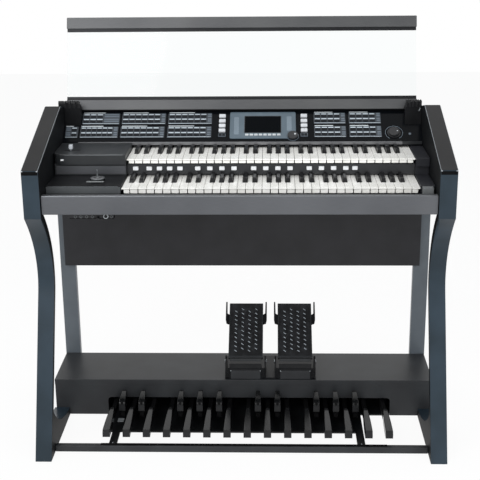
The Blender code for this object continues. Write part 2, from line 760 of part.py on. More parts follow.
def make_pedal_case():
    case = add_object(
        "pedal_case", block(-CASE_HALF, CASE_HALF, CASE_FRONT, CASE_BACK, 0.0, CASE_TALL),
        "charcoal satin paint"
    )
    round_edges(case, 0.0015, 1)
    inside = block(
        -CASE_HALF + CASE_BOARD, CASE_HALF - CASE_BOARD, CASE_FRONT + CASE_BOARD,
        CASE_BACK - CASE_BOARD, -0.02, CASE_TALL - CASE_BOARD
    )
    cut("hollow inside", case, inside)
    corner = 0.012
    low = -0.02
    points = [(SLOT_LEFT, low), (SLOT_LEFT, SLOT_TALL - corner)]
    points += bend(points[-1], (SLOT_LEFT, SLOT_TALL), (SLOT_LEFT + corner, SLOT_TALL), 3)
    points.append((SLOT_RIGHT - corner, SLOT_TALL))
    points += bend(points[-1], (SLOT_RIGHT, SLOT_TALL), (SLOT_RIGHT, SLOT_TALL - corner), 3)
    points.append((SLOT_RIGHT, low))
    mouth = [at(x, CASE_FRONT - 0.01, z) for x, z in points]
    cut("pedal mouth", case, extrude_outline(mouth, Vector((0, CASE_BOARD + 0.02, 0))))


def make_pedalboard_frame():
    half = STRAP_WIDE / 2
    front = FOOT_RAIL_BACK + GAP
    left, right = STRAPS
    far_left = SLOT_LEFT + PAN_SIDE_GAP
    far_right = SLOT_RIGHT - PAN_SIDE_GAP
    inside_left, inside_right = PAN_INSIDE
    inside = CASE_FRONT + CASE_BOARD + GAP
    points = [(far_right, CASE_FRONT), (far_right, inside), (inside_right, inside)]
    points += [(inside_right, PAN_BACK), (inside_left, PAN_BACK), (inside_left, inside)]
    points += [(far_left, inside), (far_left, CASE_FRONT), (PAN_LEFT, CASE_FRONT)]
    points += [(PAN_LEFT, PAN_FRONT), (left - half, PAN_FRONT), (left - half, front)]
    points += [(left + half, front), (left + half, PAN_FRONT), (right - half, PAN_FRONT)]
    points += [(right - half, front), (right + half, front), (right + half, CASE_FRONT)]
    frame = add_object(
        "pedalboard_frame", plan_prism(points, 0.0, PAN_THICK), "black moulded plastic"
    )
    heel_bar = block(
        far_left + STRAP_WIDE, far_right - STRAP_WIDE, HEEL_BAR_FRONT, HEEL_BAR_BACK,
        PAN_THICK / 2, HEEL_BAR_TOP
    )
    fuse("heel bar", frame, heel_bar)

    wide = INNER_HALF - GAP
    rail = block(-wide, wide, FOOT_RAIL_FRONT, FOOT_RAIL_BACK, 0.0, FOOT_RAIL_TALL)
    round_edges(add_object("foot_rail", rail, "charcoal satin paint"), 0.002)


def natural_pedal_profile():
    profile = [(-0.002, 0.0415), (-0.002, 0.062), (0.002, 0.0655), (0.122, 0.070)]
    profile += bend(profile[-1], (0.138, 0.069), (0.144, 0.055), 3)
    return profile + [(0.405, 0.055), (0.405, 0.035), (0.150, 0.035)]


def sharp_pedal_profile():
    profile = [(0.143, 0.035), (0.143, 0.058), (0.135, 0.061), (0.135, 0.088), (0.139, 0.092)]
    profile.append((0.196, 0.0985))
    profile += bend(profile[-1], (0.219, 0.0995), (0.2225, 0.055), 3)
    return profile + [(0.405, 0.055), (0.405, 0.035)]


def pedal_keys():
    """Name, place in X, and kind of the 25 pedals, from the left."""
    left = PEDAL_MID - PEDAL_PITCH * (PEDAL_NATURALS - 1) / 2
    keys = []
    for number in range(PEDAL_NATURALS):
        keys.append((left + PEDAL_PITCH * number, "natural"))
        if number % 7 in SHARP_AFTER and number < PEDAL_NATURALS - 1:
            keys.append((left + PEDAL_PITCH * (number + 0.5), "sharp"))
    return keys


def make_pedals():
    shapes = {
        "natural": (natural_pedal_profile(), PEDAL_WIDE / 2, "pale pedal cap"),
        "sharp": (sharp_pedal_profile(), PEDAL_SHARP_WIDE / 2, "black moulded plastic"),
    }
    for number, (x, kind) in enumerate(pedal_keys(), start=1):
        profile, half, material = shapes[kind]
        mesh = side_prism(profile, x - half, x + half)
        name = "pedal_{:02d}_{}".format(number, kind)
        add_object(name, mesh, material, at(x, *PEDAL_PIVOT))


def cheek_plate(x):
    """Upright side plate of the pedal bracket, with a round top over the axle."""
    depth, height = TREAD_PIVOT
    radius = 0.019
    profile = [(0.236, CASE_TALL + GAP), (depth - radius, height)]
    for step in range(1, 8):
        turn = math.pi * (1 - step / 8)
        profile.append((depth + radius * math.cos(turn), height + radius * math.sin(turn)))
    profile += [(depth + radius, height), (0.325, CASE_TALL + GAP)]
    half = (PLATE_OUT - PLATE_IN) / 2
    return side_prism(profile, x - half, x + half)


def make_expression_base():
    ground = CASE_TALL + GAP
    left = EXPRESSION_MIDS[0] - PLATE_OUT
    right = EXPRESSION_MIDS[1] + PLATE_OUT
    base = add_object(
        "expression_base", block(left, right, 0.232, 0.400, ground, PLATE_TOP), "charcoal satin paint"
    )
    plates = []
    noses = []
    middle = (PLATE_IN + PLATE_OUT) / 2
    for centre in EXPRESSION_MIDS:
        plates += [cheek_plate(centre - middle), cheek_plate(centre + middle)]
        nose = [(0.2335, 0.122), (0.2335, 0.150)]
        nose += bend(nose[-1], (0.2335, 0.157), (0.240, 0.157), 3)
        nose += [(0.248, 0.148), (0.248, 0.122)]
        noses.append(side_prism(nose, centre - middle, centre + middle))
    fuse("side plates", base, merge(plates))
    fuse("rounded noses", base, merge(noses))


def tread_at(centre, run, out):
    """A point on a tread: run up its face, out along its normal."""
    cosine = math.cos(TREAD_ANGLE)
    sine = math.sin(TREAD_ANGLE)
    return (TREAD_LOW[0] + run * cosine - out * sine, TREAD_LOW[1] + run * sine + out * cosine)


def make_expression_pedals():
    length = math.dist(TREAD_LOW, TREAD_HIGH)
    outline = [(0, 0), (length, 0), (length, -0.010), (0.075, -0.010), (0.052, -0.042)]
    outline += [(0.020, -0.042), (0.004, -0.020), (0, -0.010)]
    arm = [(0.140, -0.001), (0.156, -0.001), (0.156, -0.008), (0.140, -0.008)]
    blade = [(0.144, 0.004), (length + 0.006, 0.004), (length + 0.006, -0.006), (0.144, -0.012)]
    for centre, word in zip(EXPRESSION_MIDS, ("left", "right")):
        def shape(points, left, right):
            profile = [tread_at(centre, run, out) for run, out in points]
            return side_prism(profile, centre + left, centre + right)

        tread = add_object(
            "expression_pedal_" + word, shape(outline, -TREAD_HALF, TREAD_HALF),
            "black moulded plastic", at(centre, *TREAD_PIVOT)
        )
        reach = TREAD_HALF + 0.0125
        fuse("kick arms", tread, shape(arm, -reach, reach))
        ears = [shape(blade, -reach - 0.002, -reach + 0.001), shape(blade, reach - 0.001, reach + 0.002)]
        fuse("kick levers", tread, merge(ears))


def main():
    clear_scene()
    make_side_frames()
    make_console()
    make_end_blocks()
    make_presets()
    make_manuals()
    make_control_panel()
    make_display()
    make_left_controls()
    make_music_rest()
    make_pedal_case()
    make_pedalboard_frame()
    make_pedals()
    make_expression_base()
    make_expression_pedals()


main()
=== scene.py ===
"""Looks of a two-manual electronic organ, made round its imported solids.

Metres, +Z up, +X to the player's right. Depths are measured back from the
console's front face, runs are measured up the slope of the control panel.
Sizes of single shapes and their rounded edges are in mm.
"""

import math

import bmesh
import bpy
from mathutils import Matrix, Vector


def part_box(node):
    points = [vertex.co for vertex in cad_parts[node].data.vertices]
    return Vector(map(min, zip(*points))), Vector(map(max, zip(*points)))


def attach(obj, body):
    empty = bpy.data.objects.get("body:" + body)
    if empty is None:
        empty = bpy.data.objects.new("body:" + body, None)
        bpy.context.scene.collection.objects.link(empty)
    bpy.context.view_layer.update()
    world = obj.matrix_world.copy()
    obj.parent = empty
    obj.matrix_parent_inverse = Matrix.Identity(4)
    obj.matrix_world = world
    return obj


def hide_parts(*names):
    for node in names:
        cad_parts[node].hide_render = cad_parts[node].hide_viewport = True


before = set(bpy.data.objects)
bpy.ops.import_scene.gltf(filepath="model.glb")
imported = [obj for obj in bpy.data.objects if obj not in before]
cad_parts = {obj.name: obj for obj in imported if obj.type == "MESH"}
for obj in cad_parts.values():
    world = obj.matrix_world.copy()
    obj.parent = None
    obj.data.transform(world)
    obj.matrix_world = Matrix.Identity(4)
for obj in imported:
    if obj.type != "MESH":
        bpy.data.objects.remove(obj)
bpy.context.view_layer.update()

MM = 0.001
UP = Vector((0, 0, 1))

# Corners nearer than this are at one place
TINY = 1e-6

# Faces that meet at more than this keep a crisp edge
CRISP_ANGLE = math.radians(38)

# The front rail stands 9 mm behind the console's front face
FACE_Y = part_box("front_rail")[0].y - 9 * MM

# Camera, solved from the upright and level edges in the photograph
CAMERA_PLACE = (0.0945, -2.8339, 1.5627)
CAMERA_PITCH = 17.724
CAMERA_YAW = 1.844
CAMERA_ROLL = -0.565
CAMERA_LENS = 79.94

# Side boards
CHEEK = ((0.000, 0.855), (0.365, 0.966), (0.470, 0.944))
CHEEK_BOTTOM = 0.727
LEG_FOLD = (0.000, 0.717)
LEG_BELLY = (0.118, 0.606)
LEG_KNEE = (0.117, 0.505)
KNEE_TURN = (0.117, 0.484)
KNEE_END = (0.105, 0.455)
FOOT_FRONT = -0.078
LEG_THICK = 0.020
FOOT_BOARD_TOP = 0.125
CURVE_STEPS = 28

# Control panel and tread slopes: front edge, then rear edge
PANEL = ((0.365, 0.857), (0.463, 0.934))
PANEL_ANGLE = math.atan2(PANEL[1][1] - PANEL[0][1], PANEL[1][0] - PANEL[0][0])
TREAD = ((0.250, 0.187), (0.420, 0.306))
TREAD_ANGLE = math.atan2(TREAD[1][1] - TREAD[0][1], TREAD[1][0] - TREAD[0][0])
TREAD_MIDS = {"left": 0.009, "right": 0.165}

# Keyboards
KEY_PITCH = 23.5 * MM
KEY_GAP = 1.0 * MM
NATURALS = 36
KEYS_LEFT = 0.0877 - NATURALS * KEY_PITCH / 2
SHARP_WIDE = 13.0 * MM
SHARP_RISE = 11.5 * MM
SHARP_AFTER = (0, 1, 3, 4, 5)

# Music rest
REST_LEAN = math.radians(18.7)
REST_PIVOT = (0.461, 0.9365)
REST_MID = -0.0045
REST_HALF = 0.5455

# Pedals
PEDAL_PITCH = 60 * MM
PEDAL_MID = 0.019


# Places

def at(x, depth, height):
    """A point given by its depth behind the console's front face."""
    return Vector((x, FACE_Y + depth, height))


def spot(x, depth, height):
    return Matrix.Translation(at(x, depth, height))


def turn(degrees, axis):
    return Matrix.Rotation(math.radians(degrees), 4, axis)


def facing_front(x, depth, height):
    """Turns a shape so that its top stands out towards the player."""
    return spot(x, depth, height) @ turn(90, "X")


def on_panel(x, run, out=0.0):
    """Places a shape on the control panel: X along it, Y up the slope, Z out of it."""
    foot = spot(x, *PANEL[0]) @ Matrix.Rotation(PANEL_ANGLE, 4, "X")
    return foot @ Matrix.Translation((0, run, out))


def on_tread(side, x, run, out=0.0):
    foot = spot(TREAD_MIDS[side] + x, *TREAD[0]) @ Matrix.Rotation(TREAD_ANGLE, 4, "X")
    return foot @ Matrix.Translation((0, run, out))


def on_rest(x, rise, out=0.0):
    """Places a shape on the music rest: Z up its lean, -Y towards the player."""
    foot = spot(REST_MID, *REST_PIVOT) @ Matrix.Rotation(-REST_LEAN, 4, "X")
    return foot @ Matrix.Translation((x, -out, rise))


def box_of(name):
    """A solid's low and high corner, the depth of its middle, and its size in mm."""
    low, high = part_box(name)
    return low, high, (low.y + high.y) / 2 - FACE_Y, (high - low) / MM


# Shapes

def on_side(edge):
    """Whether an edge lies in a side face, both of its ends at one X."""
    return abs(edge.verts[0].co.x - edge.verts[1].co.x) < TINY


def above(height):
    """A test for edges that lie above a height."""
    return lambda edge: min(v.co.z for v in edge.verts) > height


def rounded(shape, edge, steps=2, chosen=None):
    """Rounds a shape's edges, or those that a test chooses."""
    edges = [e for e in shape.edges if chosen is None or chosen(e)]
    bmesh.ops.bevel(
        shape, geom=edges, offset=edge * MM, segments=steps, profile=0.5, affect="EDGES",
        clamp_overlap=True
    )
    return shape


def block(wide, deep, tall, edge=0.5, steps=2):
    """A block with rounded edges, standing on the middle of its base."""
    shape = bmesh.new()
    bmesh.ops.create_cube(shape, size=MM)
    bmesh.ops.translate(shape, verts=shape.verts, vec=(0, 0, MM / 2))
    bmesh.ops.scale(shape, verts=shape.verts, vec=(wide, deep, tall))
    return rounded(shape, edge, steps) if edge else shape


def plate(wide, deep, tall, corner, edge=0.4):
    """A flat plate whose four upright corners are round."""
    half = tall * MM / 2
    shape = block(wide, deep, tall, 0)
    rounded(shape, corner, 6, lambda e: abs(e.verts[0].co.z - e.verts[1].co.z) > half)
    top = max(v.co.z for v in shape.verts)
    return rounded(shape, edge, 2, above(top - TINY))


def prism(outline, along):
    """A closed bar: an outline of points pushed along a vector."""
    shape = bmesh.new()
    face = shape.faces.new([shape.verts.new(point) for point in outline])
    pushed = bmesh.ops.extrude_face_region(shape, geom=[face])
    far_verts = [item for item in pushed["geom"] if isinstance(item, bmesh.types.BMVert)]
    bmesh.ops.translate(shape, verts=far_verts, vec=along)
    return shape


def side_bar(profile, left, right):
    return prism([at(left, depth, height) for depth, height in profile], (right - left, 0, 0))


def turned(profile, sides=40):
    """A round solid about Z from (radius, height) points, closed or ending on the axis."""
    shape = bmesh.new()
    verts = [shape.verts.new((radius * MM, 0, height * MM)) for radius, height in profile]
    edges = [shape.edges.new(pair) for pair in zip(verts, verts[1:])]
    bmesh.ops.spin(
        shape, geom=verts + edges, cent=(0, 0, 0), axis=UP, angle=math.tau, steps=sides,
        use_merge=True
    )
    bmesh.ops.remove_doubles(shape, verts=shape.verts, dist=TINY)
    return shape


def disc(radius, tall, edge=0.3, sides=32):
    return turned([(0, 0), (radius, 0), (radius, tall - edge), (radius - edge, tall), (0, tall)], sides)


def screw_head(radius):
    """A raised round head, dished in its middle."""
    parts = ((0, 0), (1, 0), (1, 0.25), (0.8, 0.5), (0.45, 0.62), (0.28, 0.30), (0, 0.25))
    return turned([(radius * out, radius * up) for out, up in parts], 24)


def knurled(radius, tall, teeth, groove):
    """A knob whose side is cut with upright flutes."""
    outline = []
    for number in range(teeth * 4):
        angle = math.tau * number / (teeth * 4)
        here = (radius - (groove if number % 4 in (2, 3) else 0)) * MM
        outline.append((here * math.cos(angle), here * math.sin(angle), 0))
    return rounded(prism(outline, (0, 0, tall * MM)), 0.3, 1, above(tall * MM - TINY))


def moved(shape, matrix):
    bmesh.ops.transform(shape, matrix=matrix, verts=shape.verts)
    return shape


def lifted(shape, height):
    return moved(shape, Matrix.Translation((0, 0, height * MM)))


def joined(shapes):
    """Several closed shapes in one mesh."""
    whole = bmesh.new()
    for shape in shapes:
        data = bpy.data.meshes.new("part")
        shape.to_mesh(data)
        shape.free()
        whole.from_mesh(data)
        bpy.data.meshes.remove(data)
    return whole


def repeated(shape, places):
    """The same shape at several places, in one mesh."""
    whole = joined([moved(shape.copy(), place) for place in places])
    shape.free()
    return whole


def bend(start, middle, end, steps):
    """Points of a quadratic curve, its start left out."""
    start, middle, end = Vector(start), Vector(middle), Vector(end)
    points = []
    for step in range(1, steps + 1):
        part = step / steps
        points.append(tuple(start.lerp(middle, part).lerp(middle.lerp(end, part), part)))
    return points


def in_scene(name, data):
    """A new object on a mesh, lamp or camera, linked to the scene."""
    made = bpy.data.objects.new(name, data)
    bpy.context.scene.collection.objects.link(made)
    return made


def piece(name, shape, looks, body="console", hides=()):
    """Makes the object, gives it its looks and lets it ride on its body."""
    bmesh.ops.recalc_face_normals(shape, faces=shape.faces)
    mesh = bpy.data.meshes.new(name)
    shape.to_mesh(mesh)
    shape.free()
    mesh.shade_smooth()
    mesh.set_sharp_from_angle(angle=CRISP_ANGLE)
    mesh.materials.append(looks)
    made = in_scene(name, mesh)
    made.modifiers.new("weighted normals", "WEIGHTED_NORMAL").keep_sharp = True
    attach(made, body)
    if hides:
        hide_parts(*hides)
    return made


def second_finish(made, looks, chosen):
    """Gives another finish to the faces whose normal passes a test."""
    made.data.materials.append(looks)
    for polygon in made.data.polygons:
        if chosen(polygon.normal):
            polygon.material_index = 1


# Finishes

# A wave texture of this scale has one band in each unit of length
WAVE_SCALE = 0.314


def linear(colour):
    """Linear RGBA of an sRGB colour written as hex."""
    parts = [int(colour[i:i + 2], 16) / 255 for i in (1, 3, 5)]
    return (*[c / 12.92 if c <= 0.04045 else ((c + 0.055) / 1.055) ** 2.4 for c in parts], 1.0)


def add(tree, kind, sockets=None, **settings):
    """Adds a node with its settings, and links or sets its sockets."""
    node = tree.nodes.new("ShaderNode" + kind)
    for key, value in settings.items():
        setattr(node, key, value)
    for key, value in (sockets or {}).items():
        if isinstance(value, bpy.types.NodeSocket):
            tree.links.new(value, node.inputs[key])
        else:
            node.inputs[key].default_value = value
    return node


def empty_tree(owner):
    """The node tree of a material or world, with nothing in it yet."""
    owner.use_nodes = True
    owner.node_tree.nodes.clear()
    return owner.node_tree


def pattern(kind, size, stretch=(1, 1, 1), settings=None, **sockets):
    """A texture's kind, its size in mm and its stretch along X, Y and Z, kept for later use."""
    return kind, size, stretch, settings or {}, sockets


def laid(tree, kept):
    """Lays a kept pattern on the object and gives its value."""
    kind, size, stretch, settings, sockets = kept
    place = add(tree, "TexCoord").outputs["Object"]
    place = add(tree, "Mapping", {"Vector": place, "Scale": stretch}).outputs[0]
    sockets = {"Vector": place, "Scale": 1 / (size * MM), **sockets}
    outputs = add(tree, kind, sockets, **settings).outputs
    return outputs["Distance" if kind == "TexVoronoi" else "Fac"]


def finish(name, sockets, tone=None, sheen=None, relief=None):
    """A material on one Principled shader. Its tone runs from one colour to the other where
    the pattern runs over a span, its roughness follows a pattern, and a pattern raises it."""
    made = bpy.data.materials.new(name)
    tree = empty_tree(made)
    shader = add(tree, "BsdfPrincipled", sockets)
    add(tree, "OutputMaterial", {"Surface": shader.outputs[0]})
    if tone:
        patterns, start, end, dark, light = tone
        values = [laid(tree, kept) for kept in patterns]
        if len(values) == 2:
            values = add(tree, "Mix", {"Factor": 0.5, "A": values[0], "B": values[1]}).outputs
        share = add(tree, "MapRange", {"Value": values[0], "From Min": start, "From Max": end})
        both = add(tree, "Mix", {"Factor": share.outputs[0], "A": dark, "B": light}, data_type="RGBA")
        tree.links.new(both.outputs["Result"], shader.inputs["Base Color"])
    if sheen:
        kept, low, high = sheen
        rough = add(tree, "MapRange", {"Value": laid(tree, kept), "To Min": low, "To Max": high})
        tree.links.new(rough.outputs[0], shader.inputs["Roughness"])
    if relief:
        kept, strength, height, socket = relief
        bump = add(tree, "Bump", {
            "Height": laid(tree, kept), "Strength": strength, "Distance": height * MM
        })
        tree.links.new(bump.outputs[0], shader.inputs[socket])
    return made


def sprayed_lacquer():
    """Polyester lacquer sprayed on MDF and polished: deep navy under a clear gloss coat.
    Faint orange peel of about 6 mm bends the reflections a little, and the colour drifts
    over a hand's width."""
    sockets = {
        "Roughness": 0.40, "Specular IOR Level": 0.15, "Coat Weight": 0.28, "Coat Roughness": 0.06
    }
    return finish(
        "navy polyester lacquer, sprayed and polished", sockets,
        ([pattern("TexNoise", 120, Detail=2.0)], 0.35, 0.65, linear("#1b272f"), linear("#25323c")), None,
        (pattern("TexNoise", 6, Detail=1.0), 0.12, 0.05, "Coat Normal")
    )


def textured_paint(name, dark, light, roughness, shine=0.5):
    """Catalysed paint sprayed on board: a fine pebble of about 1.5 mm, drawn coarser than
    life so that it shows, breaks up the shine and leaves the tone a little uneven."""
    pebble = pattern("TexNoise", 1.5, Detail=2.0)
    return finish(
        name, {"IOR": 1.48, "Specular IOR Level": shine},
        ([pattern("TexNoise", 90, Detail=3.0)], 0.30, 0.70, linear(dark), linear(light)),
        (pebble, roughness - 0.05, roughness + 0.08), (pebble, 0.25, 0.08, "Normal")
    )


def brushed_aluminium(name, dark, light, roughness):
    """Aluminium extrusion, brushed along its length and dyed grey: hair lines 0.5 mm apart
    run along X and draw the shine out sideways."""
    lines = pattern("TexNoise", 0.5, (0.02, 1, 1), Detail=3.0)
    return finish(
        name, {"Metallic": 0.75},
        ([lines, pattern("TexNoise", 150, Detail=1.0)], 0.35, 0.65, linear(dark), linear(light)),
        (lines, roughness - 0.06, roughness + 0.08), (lines, 0.15, 0.03, "Normal")
    )


def moulded_abs(name, colour, roughness, grit=0.8, relief=0.05, shine=0.5):
    """ABS moulded in a spark-eroded tool: an even grit, given in mm and drawn coarser than
    life, that keeps the highlight soft, with a slightly worn and paler tone in places."""
    fresh = linear(colour)
    worn = (*[part * 1.18 + 0.003 for part in fresh[:3]], 1.0)
    grain = pattern("TexNoise", grit, Detail=2.0)
    return finish(
        name, {"IOR": 1.53, "Specular IOR Level": shine},
        ([pattern("TexNoise", 45, Detail=4.0)], 0.40, 0.75, fresh, worn),
        (grain, roughness - 0.04, roughness + 0.06), (grain, 0.3, relief, "Normal")
    )


def polished_key(name, fresh, used):
    """Acrylic key top, moulded and buffed: clear gloss over white, with a hand-worn cast
    that changes every few keys and hair scratches 1 mm apart that soften the shine."""
    return finish(
        name, {"IOR": 1.49, "Coat Weight": 0.3, "Coat Roughness": 0.08},
        ([pattern("TexNoise", 60, Detail=2.0)], 0.35, 0.60, linear(used), linear(fresh)),
        (pattern("TexNoise", 1.0, (1, 0.06, 1), Detail=2.0), 0.18, 0.34)
    )


def gloss_acrylic_panel():
    """Black acrylic sheet with its back painted: a mirror-smooth face, crossed by dust-fine
    swirls of 2 mm that only show in the reflections."""
    sockets = {"Base Color": linear("#090b0e"), "IOR": 1.49, "Specular IOR Level": 0.09}
    swirl = pattern("TexNoise", 2, Detail=3.0, Distortion=1.5)
    return finish("black acrylic sheet, back painted", sockets, None, (swirl, 0.10, 0.24))


def cast_acrylic():
    """Clear acrylic sheet, cast and flame polished: glass-clear, with a breath of dust."""
    sockets = {"Base Color": linear("#fbfdfd"), "IOR": 1.1, "Transmission Weight": 1.0}
    dust = pattern("TexNoise", 25, Detail=4.0)
    return finish("clear acrylic sheet, cast", sockets, None, (dust, 0.0, 0.03))


def display_glass():
    """Glass over a liquid crystal screen that is switched off to a dim blue-black, with the
    cell rows 1.5 mm apart just showing."""
    rows = pattern("TexWave", 1.5 / WAVE_SCALE, settings={"bands_direction": "Z"}, Distortion=0.0)
    return finish(
        "display glass over a dark crystal screen",
        {"Roughness": 0.08, "IOR": 1.5, "Specular IOR Level": 0.03},
        ([rows], 0.0, 1.0, linear("#050608"), linear("#090c0f"))
    )


def printed_ink(name, colour):
    """White ink screen printed on plastic: chalky, with a mesh of 0.6 mm that leaves its
    edge and cover a little uneven."""
    mesh = pattern("TexVoronoi", 0.6)
    return finish(
        name, {"Roughness": 0.6, "IOR": 1.5},
        ([mesh], 0.0, 1 / 0.35, linear(colour), linear("#8f979c"))
    )


def zinc_steel():
    """Zinc-plated steel, turned: bright with a cool cast and spangle of 1 mm."""
    spangle = pattern("TexVoronoi", 1.0)
    return finish(
        "zinc-plated steel, turned", {"Metallic": 1.0},
        ([spangle], 0.0, 1.0, linear("#c3c8cc"), linear("#8d9398")), (spangle, 0.22, 0.40)
    )


def moulded_rubber():
    """Synthetic rubber, moulded: dull black, with scuffs of 20 mm where shoes rub it."""
    scuff = pattern("TexNoise", 20, (1, 0.5, 1), Detail=5.0)
    return finish(
        "black synthetic rubber, moulded", {"IOR": 1.5, "Specular IOR Level": 0.35},
        ([scuff], 0.45, 0.80, linear("#0f1012"), linear("#232528")), (scuff, 0.42, 0.62),
        (pattern("TexNoise", 0.8, Detail=1.0), 0.3, 0.06, "Normal")
    )


LACQUER = sprayed_lacquer()
CAP_PAINT = textured_paint("charcoal cap paint, sprayed", "#161617", "#1d1d1e", 0.44, 0.20)
# Near-black paint for the side boards' inner faces: painted shade between the boards, which are navy all
# over
INNER_SHADE_PAINT = textured_paint("black board paint with painted shade, sprayed", "#0b0c0e", "#111315", 0.55, 0.12)
# The rear legs' slate is paler than the navy lacquer of the boards: painted light, standing in for the
# light that falls on them
LIT_LEG_PAINT = textured_paint("slate leg paint with painted light, sprayed", "#4d5359", "#565d63", 0.40)
BOARD_PAINT = textured_paint("charcoal board paint, sprayed", "#1f1f21", "#27272a", 0.44, 0.32)
CASE_PAINT = textured_paint("charcoal case paint, sprayed", "#27282a", "#303234", 0.38, 0.26)
RAIL_METAL = brushed_aluminium("grey dyed aluminium, brushed", "#585a5e", "#66686c", 0.42)
REST_METAL = brushed_aluminium("grey coated aluminium, brushed", "#4a4b4d", "#575859", 0.45)
BAR_METAL = brushed_aluminium("dark coated aluminium, brushed", "#3c3d3f", "#464749", 0.45)
STRIP_METAL = brushed_aluminium("pale satin aluminium, brushed", "#77787b", "#88898b", 0.40)
# The rails' lips beside the sheet are real steps; their near-black tone is painted shade in the channel
# that holds the sheet
SHADED_LIP_METAL = brushed_aluminium("dark aluminium with painted shade, brushed", "#18191b", "#222325", 0.40)
BLOCK_ABS = moulded_abs("charcoal ABS, moulded", "#26282a", 0.34, shine=0.35)
# A darker, duller copy of the charcoal block ABS: painted shade on the right end block
SHADED_BLOCK_ABS = moulded_abs("charcoal ABS with painted shade, moulded", "#222327", 0.38, shine=0.25)
BLACK_ABS = moulded_abs("black ABS, moulded", "#111214", 0.36, shine=0.25)
SATIN_ABS = moulded_abs("black ABS, fine moulded", "#191a1d", 0.28, 0.5, 0.02)
BANK_ABS = moulded_abs("blue-grey ABS, painted", "#272e35", 0.38, 0.6, 0.02)
BEZEL_ABS = moulded_abs("pale blue-grey ABS, painted", "#46545e", 0.40, 0.6, 0.02)
PAD_ABS = moulded_abs("light blue-grey ABS, moulded", "#aab4bc", 0.40, 0.6, 0.02)
SILVER_ABS = moulded_abs("silver painted ABS, moulded", "#a8adb2", 0.30, 0.5, 0.02)
BUTTON_ABS = moulded_abs("white ABS, moulded", "#dcdee0", 0.35, 0.5, 0.02)
COLUMN_ABS = moulded_abs("pale grey ABS, moulded", "#b6b9bd", 0.38, 0.5, 0.02)
PEDAL_ABS = moulded_abs("black pedal ABS, moulded and scuffed", "#0b0c0d", 0.22, 1.0, 0.03, 0.30)
TOE_ABS = moulded_abs("black pedal ABS, fine moulded", "#111214", 0.36, 0.6, 0.02, 0.3)
PLATE_ABS = moulded_abs("light grey ABS, moulded", "#a8adb0", 0.40, 0.6, 0.02)
CAP_ABS = moulded_abs("dark slate ABS, moulded", "#0f1216", 0.34, 0.5, 0.02, 0.18)
FIELD_ABS = moulded_abs("mid slate ABS, painted", "#525b64", 0.40, 0.6, 0.02)
FIELD_PALE_ABS = moulded_abs("pale slate ABS, painted", "#606d77", 0.40, 0.6, 0.02)
# Near-black and dull: the levers are black, and darkened further as painted shade under the pedal caps;
# other black parts share this finish
LEVER_ABS = moulded_abs("black lever ABS with painted shade, moulded", "#060607", 0.6, shine=0.06)
HINGE_ABS = moulded_abs("black hinge ABS, moulded", "#0c0d0f", 0.42, shine=0.14)
GRIP_ABS = moulded_abs("grey ABS studs, moulded", "#868d93", 0.40, 0.6, 0.02)
TRIM_ABS = moulded_abs("grey ABS, moulded", "#494c4e", 0.42, 0.6, 0.02)
PALE_TRIM_ABS = moulded_abs("mid grey ABS, moulded", "#686b6c", 0.42, 0.6, 0.02)
KEY_WHITE = polished_key("white acrylic key tops, polished", "#f6f5f1", "#eeede8")
KEY_BLACK = moulded_abs("black phenolic key tops, moulded", "#0c0c0e", 0.28, 0.5, 0.02, 0.22)
PANEL_ACRYLIC = gloss_acrylic_panel()
CLEAR = cast_acrylic()
SCREEN = display_glass()
WHITE_INK = printed_ink("white ink, screen printed", "#dfe6ea")
STEEL = zinc_steel()
RUBBER = moulded_rubber()


def paint_solids():
    """Finishes of the solids that are shown as they are."""
    solids = {
        # Rear legs: the paler paint is painted light
        LIT_LEG_PAINT: ("rear_leg_left", "rear_leg_right"),
        BOARD_PAINT: ("keybed", "console_back", "knee_panel"),
        CASE_PAINT: ("pedal_case",),
        BAR_METAL: ("preset_rail",),
        BLOCK_ABS: ("upper_left_block",),
        # Right end block: the darker copy of the block ABS is painted shade
        SHADED_BLOCK_ABS: ("right_end_block",),
        HINGE_ABS: ("lower_left_block", "hinge_block_left", "hinge_block_right", "expression_base"),
        BLACK_ABS: ("pedalboard_frame",),
        PANEL_ACRYLIC: ("control_panel",),
        CLEAR: ("rest_sheet",),
    }
    for looks, names in solids.items():
        for name in names:
            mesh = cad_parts[name].data
            mesh.materials.clear()
            mesh.materials.append(looks)


# Console and stand

def board_outline():
    """Cheek, swept leg and foot board in one outline, with fine steps on its curves."""
    slope = (KNEE_END[0] - FOOT_FRONT) / KNEE_END[1]
    leg_back = LEG_THICK * math.hypot(1, slope)
    heel = (FOOT_FRONT + slope * FOOT_BOARD_TOP + leg_back, FOOT_BOARD_TOP)
    foot_end = (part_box("pedal_case")[0].y - FACE_Y - 0.3 * MM, 0.024)
    points = [CHEEK[0], LEG_FOLD]
    points += bend(LEG_FOLD, LEG_BELLY, LEG_KNEE, CURVE_STEPS)
    points += bend(LEG_KNEE, KNEE_TURN, KNEE_END, 10)
    points += [(FOOT_FRONT, 0.0), (foot_end[0], 0.0), foot_end]
    points += bend(foot_end, (0.060, 0.040), heel, 16)
    knee_back = (KNEE_END[0] + leg_back, KNEE_END[1])
    points.append(knee_back)
    points += bend(knee_back, (0.139, 0.490), (0.136, 0.520), 10)
    points += bend((0.136, 0.520), (0.136, 0.625), (0.030, CHEEK_BOTTOM), CURVE_STEPS)
    return points + [(CHEEK[2][0], CHEEK_BOTTOM), CHEEK[2], CHEEK[1]]


